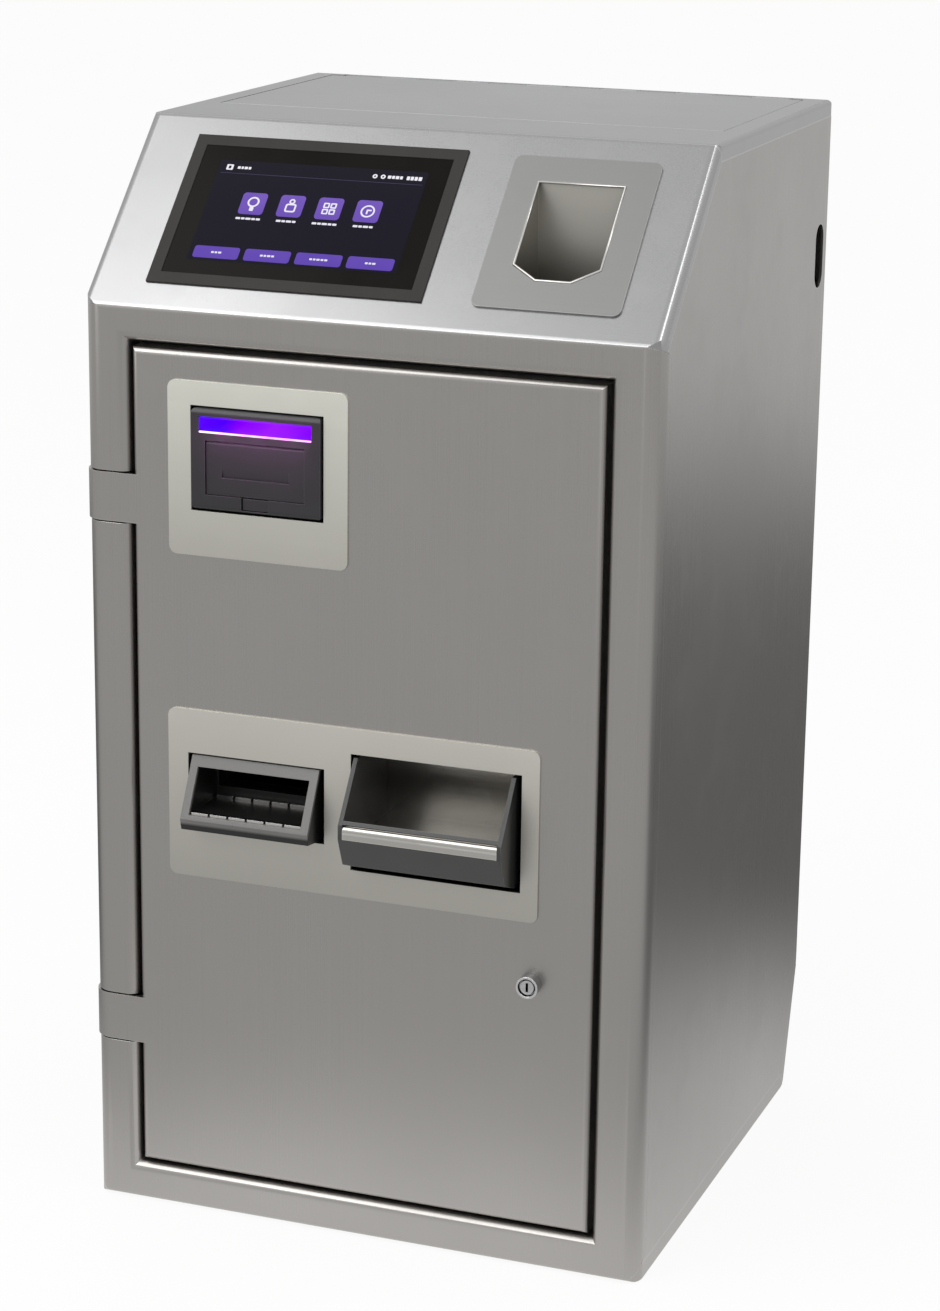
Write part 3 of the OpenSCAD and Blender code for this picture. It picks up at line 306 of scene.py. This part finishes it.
# Colour painted on upward faces of the plastics as a highlight.
TOP_HIGHLIGHT_TINT = (0.24, 0.23, 0.245)
STEEL = (0.50, 0.482, 0.462)
UPRIGHT = (2600.0, 2600.0, 3.0)
LEVEL = (3.0, 2600.0, 2600.0)
window_lo, window_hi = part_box("led_light_guide")
slope_lo, slope_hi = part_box("touch_glass")
VIOLET = [(0.0, (0.09, 0.0, 1.0)), (0.14, (0.07, 0.0, 1.0)), (0.3, (0.23, 0.0, 1.0)),
          (0.6, (0.33, 0.01, 0.95)), (1.0, (0.2, 0.0, 1.0))]
PINK = [(0.0, (1.0, 0.75, 1.0)), (0.3, (1.0, 0.5, 0.95)), (0.7, (0.95, 0.3, 0.9)),
        (1.0, (0.8, 0.4, 1.0))]
NIGHT = [(0.0, (0.003, 0.002, 0.007)), (0.6, (0.005, 0.004, 0.011)), (1.0, (0.008, 0.007, 0.013))]
PURPLE = [(0.0, (0.10, 0.05, 0.42)), (0.5, (0.15, 0.08, 0.46)), (1.0, (0.24, 0.14, 0.56))]
FAINT = [(0.0, (0.05, 0.04, 0.10)), (1.0, (0.07, 0.06, 0.12))]
PALE = [(0.0, (0.8, 0.78, 0.9)), (1.0, (0.9, 0.88, 0.95))]
MATERIALS = {
    "front_steel": brushed_metal("front_steel", STEEL, UPRIGHT),
    "side_steel": brushed_metal("side_steel", STEEL, UPRIGHT),
    "slope_steel": brushed_metal("slope_steel", (0.48, 0.48, 0.485), UPRIGHT, 0.28),
    "top_steel": brushed_metal("top_steel", (0.5, 0.5, 0.505), LEVEL),
    "satin_plate": brushed_metal("satin_plate", (0.86, 0.84, 0.76), LEVEL, 0.44, streak=0.015,
                                 fade="validator_plate"),
    "payout_satin": brushed_metal("payout_satin", (0.70, 0.68, 0.62), LEVEL, 0.46, streak=0.015,
                                  fade="payout_plate"),
    "inlet_plate": brushed_metal("inlet_plate", (0.34, 0.34, 0.335), LEVEL, 0.5, streak=0.015),
    "cup_steel": brushed_metal("cup_steel", (0.74, 0.72, 0.69), LEVEL, 0.16),
    "tray_steel": brushed_metal("tray_steel", (0.66, 0.64, 0.60), LEVEL, 0.2, hollow=50 * MM,
                                deep=0.62),
    "funnel_steel": brushed_metal("funnel_steel", (0.63, 0.61, 0.555), UPRIGHT, 0.36,
                                  hollow=100 * MM, deep=0.7),
    "zinc": plated_metal("zinc", (0.62, 0.63, 0.64), 0.35),
    "turned_steel": brushed_metal("turned_steel", (0.55, 0.55, 0.55), LEVEL, 0.25),
    "lock_chrome": lock_metal("lock_chrome", "lock_body", (0.9, 0.9, 0.9), (0.34, 0.34, 0.34)),
    "plug_chrome": lock_metal("plug_chrome", "lock_plug", (0.85, 0.85, 0.85), (0.12, 0.12, 0.12)),
    "charcoal": moulded_plastic("charcoal", (0.030, 0.029, 0.032), 0.36, edge_highlight=3.0, top_highlight=0.22),
    "cup_grey": moulded_plastic("cup_grey", (0.055, 0.055, 0.054), 0.33, edge_highlight=2.6,
                                hollow=50 * MM),
    "outlet_grey": moulded_plastic("outlet_grey", (0.19, 0.187, 0.18), 0.3, edge_highlight=1.6,
                                   pocket="note_outlet_bezel"),
    "module_black": moulded_plastic("module_black", (0.03, 0.03, 0.032), 0.5),
    "bezel_grey": dark_glass("bezel_grey", (0.040, 0.038, 0.035), 0.5, 0.2),
    "rubber": moulded_plastic("rubber", (0.012, 0.012, 0.012), 0.75, edge_highlight=0),
    "white_plastic": moulded_plastic("white_plastic", (0.7, 0.7, 0.66), 0.35, edge_highlight=0),
    "glass_black": dark_glass("glass_black", (0.009, 0.008, 0.007), 0.16, 0.06),
    "powder_grey": moulded_plastic("powder_grey", (0.2, 0.21, 0.22), 0.5),
    "switch_red": moulded_plastic("switch_red", (0.5, 0.02, 0.02), 0.3),
    "led": lit_surface("led", VIOLET, 0.95, window_lo.x, window_hi.x),
    "led_edge": lit_surface("led_edge", PINK, 1.9, window_lo.x, window_hi.x),
    "screen": display_light("screen", NIGHT),
    "icon": display_light("icon", PURPLE),
    "rule": display_light("rule", FAINT),
    "glyph": display_light("glyph", PALE),
}

LOOKS = {
    "front_steel": ["front_frame", "door_panel", "base_plate"],
    "side_steel": ["left_side_panel", "right_side_panel", "rear_panel"],
    "slope_steel": ["console_panel"],
    "top_steel": ["top_panel", "service_lid"],
    "satin_plate": ["validator_plate"],
    "payout_satin": ["payout_plate"],
    "inlet_plate": ["coin_inlet_plate"],
    "cup_steel": ["note_guide_strips"],
    "tray_steel": ["coin_cup_tray"],
    "funnel_steel": ["coin_funnel"],
    "zinc": ["hinge_brackets", "strike_plate", "chassis_left_wall", "chassis_centre_wall",
             "chassis_right_wall", "note_shelf", "coin_shelf", "note_cashbox", "coin_cashbox",
             "coin_chute", "lid_hinge_leaf", "plate_studs", "monitor_housing", "lock_cam"],
    "turned_steel": ["hinge_pins", "hinge_knuckles", "lid_hinge_pin"],
    "lock_chrome": ["lock_body"],
    "plug_chrome": ["lock_plug"],
    "charcoal": ["validator_bezel", "service_flap", "flap_latch"],
    "cup_grey": ["coin_cup_shell"],
    "outlet_grey": ["note_outlet_bezel"],
    "module_black": ["recycler_housing", "validator_lower_housing", "validator_upper_housing",
                     "coin_feeder_housing", "coin_hopper", "cashbox_handles", "mains_inlet"],
    "bezel_grey": ["screen_bezel"],
    "rubber": ["door_gasket", "front_note_roller", "rear_note_roller", "roller_drive_belt"],
    "white_plastic": ["coin_feeder_disc", "coin_hopper_disc", "recycler_drum"],
    "glass_black": ["touch_glass"],
    "powder_grey": ["power_supply", "controller_box"],
    "switch_red": ["mains_switch"],
    "led": ["led_light_guide"],
    "screen": ["lcd_panel"],
}

# Welding and weighted normals crease these wide folded panels, so they keep the CAD's normals.
KEPT_SHARP = ["left_side_panel", "right_side_panel", "rear_panel"]
EDGE_ROUND = 0.35 * MM
# Two places closer than this are the same place.
TOUCH = 0.01 * MM


def soften(obj):
    """Rounds the hard edges of a CAD node with modifiers and smooths its shading."""
    obj.data.shade_smooth()
    weld = obj.modifiers.new("weld", "WELD")
    weld.merge_threshold = 0.002 * MM
    bevel = obj.modifiers.new("edges", "BEVEL")
    bevel.width = EDGE_ROUND
    bevel.segments = 2
    bevel.limit_method = "ANGLE"
    bevel.angle_limit = math.radians(40)
    normals = obj.modifiers.new("normals", "WEIGHTED_NORMAL")
    normals.keep_sharp = True
    normals.weight = 80


for look, names in LOOKS.items():
    for name in names:
        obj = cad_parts[name]
        obj.data.materials.clear()
        obj.data.materials.append(MATERIALS[look])
        if name not in KEPT_SHARP:
            soften(obj)


def placed(name, data):
    """New object in the scene."""
    made = bpy.data.objects.new(name, data)
    bpy.context.collection.objects.link(made)
    return made


def mesh_object(name, bm, looks):
    """New object from a bmesh, with its materials."""
    mesh = bpy.data.meshes.new(name)
    bm.to_mesh(mesh)
    bm.free()
    for look in looks:
        mesh.materials.append(MATERIALS[look])
    return placed(name, mesh)


# ---------------------------------------------------------------- display graphics

UP_SLOPE = Vector((0, math.sqrt(0.5), math.sqrt(0.5)))
OUT_OF_SLOPE = Vector((0, -math.sqrt(0.5), math.sqrt(0.5)))
ACROSS = Vector((1, 0, 0))


def reach(name, direction):
    """Lowest and highest place of a CAD node along one direction."""
    along = [vertex.co.dot(direction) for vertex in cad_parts[name].data.vertices]
    return min(along), max(along)


class Decal:
    """Thin raised shapes on a sloping face, in millimetres from the face's centre."""

    def __init__(self, name):
        across, up = reach(name, ACROSS), reach(name, UP_SLOPE)
        self.centre = ACROSS * sum(across) / 2 + UP_SLOPE * sum(up) / 2
        self.centre += OUT_OF_SLOPE * reach(name, OUT_OF_SLOPE)[1]
        self.bm = bmesh.new()

    def point(self, a, b, rise):
        return self.centre + (ACROSS * a + UP_SLOPE * b + OUT_OF_SLOPE * rise) * MM

    def prism(self, outline, rise, look, inner=None):
        """Closed prism over an outline, with a hole if an inner outline is given."""
        rings = [outline] + ([inner] if inner else [])
        low = [[self.bm.verts.new(self.point(a, b, 0.0)) for a, b in ring] for ring in rings]
        high = [[self.bm.verts.new(self.point(a, b, rise)) for a, b in ring] for ring in rings]
        count = len(outline)
        faces = []
        for k in range(count):
            n = (k + 1) % count
            faces.append((low[0][k], low[0][n], high[0][n], high[0][k]))
            if inner:
                faces.append((low[1][n], low[1][k], high[1][k], high[1][n]))
                faces.append((high[0][k], high[0][n], high[1][n], high[1][k]))
                faces.append((low[0][n], low[0][k], low[1][k], low[1][n]))
        if not inner:
            faces += [high[0], low[0][::-1]]
        for verts in faces:
            self.bm.faces.new(verts).material_index = look

    def object(self, name, looks):
        bmesh.ops.recalc_face_normals(self.bm, faces=self.bm.faces)
        return mesh_object(name, self.bm, looks)


def rounded(a, b, w, h, r, steps=4):
    """Outline of a rounded rectangle centred on (a, b)."""
    points = []
    for corner in range(4):
        sx, sy = ((1, 1), (-1, 1), (-1, -1), (1, -1))[corner]
        for step in range(steps + 1):
            turn = math.radians(90 * (corner + step / steps))
            points.append((a + sx * (w / 2 - r) + r * math.cos(turn),
                           b + sy * (h / 2 - r) + r * math.sin(turn)))
    return points


def disc(a, b, r, steps=20):
    """Outline of a circle round (a, b)."""
    return [(a + r * math.cos(math.tau * k / steps), b + r * math.sin(math.tau * k / steps))
            for k in range(steps)]


SCREEN_W, SCREEN_H = 155.0, 86.0
ICON_W, ICON_PITCH, ICON_B = 18.5, 28.5, 7.0
CAPTION_B = ICON_B - 13.0
BUTTON_W, BUTTON_H, BUTTON_PITCH, BUTTON_B = 34.0, 10.0, 38.0, -36.0
NIGHT_LOOK, ICON_LOOK, GLYPH_LOOK, RULE_LOOK = range(4)
# How far each layer stands off the glass, in millimetres like the sizes above.
NIGHT_RISE, RULE_RISE, ICON_RISE, STATUS_RISE, SIGN_RISE = 0.06, 0.12, 0.14, 0.2, 0.24


def dashes(decal, a, b, widths, height):
    """Row of short bars that stands for a caption."""
    gap = 0.7
    left = a - (sum(widths) + gap * (len(widths) - 1)) / 2
    for width in widths:
        bar = rounded(left + width / 2, b, width, height, 0.25, 2)
        decal.prism(bar, SIGN_RISE, GLYPH_LOOK)
        left += width + gap


def glyph(decal, kind, a, b):
    """Plain sign on an icon: a lamp, a jar, a grid or a dial."""
    if kind == 0:
        decal.prism(disc(a, b + 1.4, 4.4), SIGN_RISE, GLYPH_LOOK, disc(a, b + 1.4, 3.1))
        decal.prism(rounded(a, b - 4.6, 3.0, 3.2, 0.5), SIGN_RISE, GLYPH_LOOK)
    elif kind == 1:
        decal.prism(rounded(a, b - 1.6, 8.0, 7.2, 1.6), SIGN_RISE, GLYPH_LOOK,
                    rounded(a, b - 1.6, 5.6, 4.8, 0.8))
        decal.prism(disc(a, b + 3.9, 2.2), SIGN_RISE, GLYPH_LOOK, disc(a, b + 3.9, 1.1))
    elif kind == 2:
        for da in (-2.6, 2.6):
            for db in (-2.6, 2.6):
                decal.prism(rounded(a + da, b + db, 4.5, 4.5, 0.8), SIGN_RISE, GLYPH_LOOK,
                            rounded(a + da, b + db, 2.4, 2.4, 0.3))
    else:
        decal.prism(disc(a, b, 5.2), SIGN_RISE, GLYPH_LOOK, disc(a, b, 4.0))
        decal.prism(rounded(a + 0.9, b + 0.9, 3.6, 1.2, 0.3), SIGN_RISE, GLYPH_LOOK)
        decal.prism(rounded(a - 0.4, b - 0.6, 1.2, 3.6, 0.3), SIGN_RISE, GLYPH_LOOK)


def draw_status_bar(decal):
    """Rule, sign and caption at the left, two round signs and two captions at the right."""
    rule_b, bar_b = SCREEN_H / 2 - 11.0, SCREEN_H / 2 - 6.0
    left, right = -SCREEN_W / 2, SCREEN_W / 2
    decal.prism(rounded(0, rule_b, SCREEN_W - 4, 0.3, 0.1, 2), RULE_RISE, RULE_LOOK)
    decal.prism(rounded(left + 8, bar_b, 5.0, 4.6, 0.6), STATUS_RISE, GLYPH_LOOK,
                rounded(left + 8, bar_b, 2.0, 2.6, 0.4))
    dashes(decal, left + 19, bar_b, (2.2, 1.6, 2.4, 1.8), 2.0)
    for a in (right - 38, right - 32):
        decal.prism(disc(a, bar_b, 1.8, 14), STATUS_RISE, GLYPH_LOOK, disc(a, bar_b, 0.8, 14))
    dashes(decal, right - 23, bar_b, (2.4, 2.0, 2.4, 2.0), 2.4)
    dashes(decal, right - 9, bar_b, (2.2, 2.2, 2.2, 2.4), 3.0)


def make_display():
    """The lit picture: a status bar, four icons with captions and four buttons."""
    decal = Decal("touch_glass")
    decal.prism(rounded(0, 0, SCREEN_W, SCREEN_H, 1.0), NIGHT_RISE, NIGHT_LOOK)
    draw_status_bar(decal)
    for k in range(4):
        a = ICON_PITCH * (k - 1.5)
        decal.prism(rounded(a, ICON_B, ICON_W, ICON_W, 2.6), ICON_RISE, ICON_LOOK)
        glyph(decal, k, a, ICON_B)
        dashes(decal, a, CAPTION_B, (3.4, 2.6, 3.8, 2.6, 3.0)[:5 - k % 2], 1.6)
        a = BUTTON_PITCH * (k - 1.5)
        decal.prism(rounded(a, BUTTON_B, BUTTON_W, BUTTON_H, 2.0), ICON_RISE, ICON_LOOK)
        dashes(decal, a, BUTTON_B, (2.0, 1.8, 2.4, 2.0, 2.2)[:3 + k % 3], 1.5)
    made = decal.object("display_graphics", ["screen", "icon", "glyph", "rule"])
    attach(made, "cabinet")


# ---------------------------------------------------------------- note slot and coin inlet


def make_window_liner():
    """Lit lining of the note slot's sides and top, just inside the hole in the bezel."""
    wall = 0.35 * MM
    side_gap = 0.02 * MM
    front_inset, back_inset = 0.5 * MM, 1 * MM
    floor_gap, roof_gap = 2 * MM, 0.9 * MM
    bezel_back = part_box("validator_bezel")[1].y
    inside_lo, inside_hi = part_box("led_light_guide")
    hole = [vertex.co.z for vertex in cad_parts["validator_bezel"].data.vertices
            if abs(vertex.co.x - inside_lo.x) < TOUCH]
    front, back = inside_lo.y + front_inset, bezel_back - back_inset
    left, right = inside_lo.x + side_gap, inside_hi.x - side_gap
    low, high = inside_lo.z + floor_gap, max(hole) - roof_gap
    outline = [(left, low), (left, high), (right, high), (right, low),
               (right - wall, low), (right - wall, high - wall), (left + wall, high - wall),
               (left + wall, low)]
    bm = bmesh.new()
    near = [bm.verts.new((x, front, z)) for x, z in outline]
    away = [bm.verts.new((x, back, z)) for x, z in outline]
    count = len(outline)
    for k in range(count):
        n = (k + 1) % count
        bm.faces.new((near[k], near[n], away[n], away[k]))
    for ring in (near, away):
        for quad in ((0, 1, 6, 7), (1, 2, 5, 6), (2, 3, 4, 5)):
            bm.faces.new([ring[k] for k in quad])
    bmesh.ops.recalc_face_normals(bm, faces=bm.faces)
    made = mesh_object("window_liner", bm, ["led"])
    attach(made, "cabinet")


def make_edge_strip():
    """Bright rounded strip along the note slot's lower edge."""
    side_gap, ahead, behind, height = 0.2 * MM, 0.9 * MM, 0.4 * MM, 1.2 * MM
    lo = (window_lo.x + side_gap, window_lo.y - ahead, window_lo.z)
    hi = (window_hi.x - side_gap, window_lo.y + behind, window_lo.z + height)
    bm = bmesh.new()
    bmesh.ops.create_cube(bm, size=1.0)
    for vertex in bm.verts:
        vertex.co = Vector([(l + h) / 2 + c * (h - l) for l, h, c in zip(lo, hi, vertex.co)])
    bmesh.ops.bevel(bm, geom=bm.edges[:], offset=0.4 * MM, segments=3, affect="EDGES")
    made = mesh_object("led_edge_strip", bm, ["led_edge"])
    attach(made, "cabinet")


def inlet_mouth(margin=5 * MM):
    """Rim of the inlet plate's hole as (across, up the slope), and how far out its face is."""
    left, right = reach("coin_inlet_plate", ACROSS)
    low, high = reach("coin_inlet_plate", UP_SLOPE)
    face = reach("coin_inlet_plate", OUT_OF_SLOPE)[1]
    mouth = {}
    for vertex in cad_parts["coin_inlet_plate"].data.vertices:
        a, b, rise = (vertex.co.dot(axis) for axis in (ACROSS, UP_SLOPE, OUT_OF_SLOPE))
        inside = left + margin < a < right - margin and low + margin < b < high - margin
        if inside and abs(rise - face) < TOUCH:
            # Vertices that are split between faces share one rounded key.
            mouth[round(a, 5), round(b, 5)] = (a, b)
    return list(mouth.values()), face


def make_inlet_bead():
    """Rolled bead that the funnel's mouth shows round the hole in its plate."""
    radius, sink = 1.0 * MM, 0.2 * MM
    mouth, face = inlet_mouth()
    mid_a = sum(a for a, b in mouth) / len(mouth)
    mid_b = sum(b for a, b in mouth) / len(mouth)
    ring = sorted(mouth, key=lambda p: math.atan2(p[1] - mid_b, p[0] - mid_a))
    curve = bpy.data.curves.new("inlet_bead", "CURVE")
    curve.dimensions = "3D"
    curve.bevel_depth = radius
    curve.bevel_resolution = 4
    spline = curve.splines.new("POLY")
    spline.points.add(len(ring) - 1)
    spline.use_cyclic_u = True
    for point, (a, b) in zip(spline.points, ring):
        pull = 1 - radius / max(abs(a - mid_a), abs(b - mid_b))
        place = ACROSS * (mid_a + (a - mid_a) * pull) + UP_SLOPE * (mid_b + (b - mid_b) * pull)
        point.co = (*(place + OUT_OF_SLOPE * (face - sink)), 1.0)
    curve.materials.append(MATERIALS["cup_steel"])
    bead = placed("inlet_bead", curve)
    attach(bead, "cabinet")


make_display()
make_window_liner()
make_edge_strip()
make_inlet_bead()

# ---------------------------------------------------------------- stage, light and camera

AZIMUTH, ELEVATION, ROLL = math.radians(20.2), math.radians(15.82), math.radians(0.76)
DISTANCE = 2.329
AIM = Vector((0.065, -0.168, 0.434))
LENS = 92.5
WHITE = (1, 1, 1, 1)
# The camera sees the floor and the room at this strength, which is pure white in the picture.
CAMERA_WHITE = 1.02
# The steel sees the floor as a pool round the foot, dimmer further out. Each strength fades to
# the next over a stretch, given in metres from the floor's middle or along Y.
FRONT_POOL, FRONT_FLOOR = 0.95, 0.5
BACK_POOL, BACK_FLOOR, FAR_FLOOR = 0.66, 0.15, 0.65
FRONT_FADE, BACK_FADE, FAR_FADE = (0.22, 0.58), (0.22, 0.78), (1.7, 3.4)
FRONT_TO_BACK = (-0.5, 0.1)
# Share of the camera's floor that is white whatever falls on it. The rest takes shadows.
SHADOWLESS = 0.88
# The steel sees the room at the first strength on the horizon. It rises to the second where the
# upward part of a direction is ROOM_RISE, which is about 44 degrees up.
ROOM_LOW, ROOM_HIGH, ROOM_RISE = 0.6, 0.72, 0.7


def make_camera():
    data = bpy.data.cameras.new("camera")
    data.lens = LENS
    data.sensor_width = 36
    cam = placed("camera", data)
    back = Vector((math.sin(AZIMUTH) * math.cos(ELEVATION),
                   -math.cos(AZIMUTH) * math.cos(ELEVATION), math.sin(ELEVATION)))
    turn = (-back).to_track_quat("-Z", "Y").to_matrix()
    cam.rotation_euler = (turn @ Matrix.Rotation(ROLL, 3, "Z")).to_euler()
    cam.location = AIM + back * DISTANCE
    bpy.context.scene.camera = cam


def area_light(name, place, aim, size, power):
    """White rectangle of light, in metres and watts, turned towards its aim."""
    data = bpy.data.lights.new(name, "AREA")
    data.shape = "RECTANGLE"
    data.size, data.size_y = size
    data.energy = power
    lamp = placed(name, data)
    lamp.location = place
    lamp.rotation_euler = (Vector(aim) - Vector(place)).to_track_quat("-Z", "Y").to_euler()


def spill_light(share):
    """Weak violet light that the lit slot throws on the bezel, at a share of its width."""
    ahead, below = 14 * MM, 3 * MM
    data = bpy.data.lights.new("violet_spill", "POINT")
    data.energy = 0.016
    data.color = (0.8, 0.25, 0.75)
    data.shadow_soft_size = 3 * MM
    lamp = placed("violet_spill", data)
    lamp.location = (window_lo.lerp(window_hi, share).x, window_lo.y - ahead,
                     window_lo.z - below)
    lamp.visible_camera = False
    lamp.visible_glossy = False


def make_floor():
    """White floor: it looks white, and the steel sees it as a lit pool that falls off."""
    half = 30.0
    mesh = bpy.data.meshes.new("floor")
    mesh.from_pydata([(-half, -half, 0), (half, -half, 0), (half, half, 0), (-half, half, 0)],
                     [], [(0, 1, 2, 3)])
    floor = placed("floor", mesh)
    floor.location.z = cad_lo.z - 0.5 * MM
    s = Shader("floor")
    place = s.coords()
    far = s.node("ShaderNodeVectorMath", {0: place}, operation="LENGTH").outputs["Value"]
    behind = s.smooth(s.axes(place)[1], *FRONT_TO_BACK)
    front = s.lerp(s.smooth(far, *FRONT_FADE), FRONT_POOL, FRONT_FLOOR)
    back = s.lerp(s.smooth(far, *BACK_FADE), BACK_POOL, BACK_FLOOR)
    back = s.lerp(s.smooth(far, *FAR_FADE), back, FAR_FLOOR)
    reflected = s.node("ShaderNodeEmission",
                       {"Color": WHITE, "Strength": s.lerp(behind, front, back)})
    cloudy = s.remap(s.noise(place, scale=3.0), 0.0, 1.0)
    s.set(Base_Color=s.blend(cloudy, rgba((0.86, 0.86, 0.86)), rgba((0.9, 0.9, 0.9))),
          Roughness=0.7)
    white = s.node("ShaderNodeEmission", {"Color": WHITE, "Strength": CAMERA_WHITE})
    pale = s.node("ShaderNodeMixShader",
                  {0: SHADOWLESS, 1: s.bsdf.outputs[0], 2: white.outputs[0]})
    is_seen = s.node("ShaderNodeLightPath").outputs["Is Camera Ray"]
    both = s.node("ShaderNodeMixShader", {0: is_seen, 1: reflected.outputs[0], 2: pale.outputs[0]})
    s.put(s.tree.nodes["Material Output"].inputs["Surface"], both.outputs[0])
    mesh.materials.append(s.mat)


def make_world():
    """Pale room: the steel sees it a little brighter higher up, and the camera sees it white."""
    world = bpy.data.worlds.new("studio")
    world.use_nodes = True
    room = Nodes(world.node_tree)
    upward = room.axes(room.node("ShaderNodeTexCoord").outputs["Generated"])[2]
    reflected = room.remap(upward, ROOM_LOW, ROOM_HIGH, 0.0, ROOM_RISE)
    is_seen = room.node("ShaderNodeLightPath").outputs["Is Camera Ray"]
    sky = room.tree.nodes["Background"].inputs
    room.put(sky["Strength"], room.lerp(is_seen, reflected, CAMERA_WHITE))
    room.put(sky["Color"], WHITE)
    bpy.context.scene.world = world


bpy.context.scene.view_settings.view_transform = "Standard"
make_camera()
make_floor()
make_world()
area_light("overhead", place=(-1.1, -1.02, 2.4), aim=(-0.1, -0.2, 0.7), size=(1.35, 1.1), power=8.2)
area_light("front_strip", place=(-0.75, -2.1, 1.95), aim=(0, -0.2, 0.65), size=(2.0, 0.8), power=12)
area_light("right_top", place=(1.35, -0.5, 2.35), aim=(0.2, -0.1, 0.7), size=(0.7, 0.7), power=5)
for share in (0.2, 0.5, 0.8):
    spill_light(share)
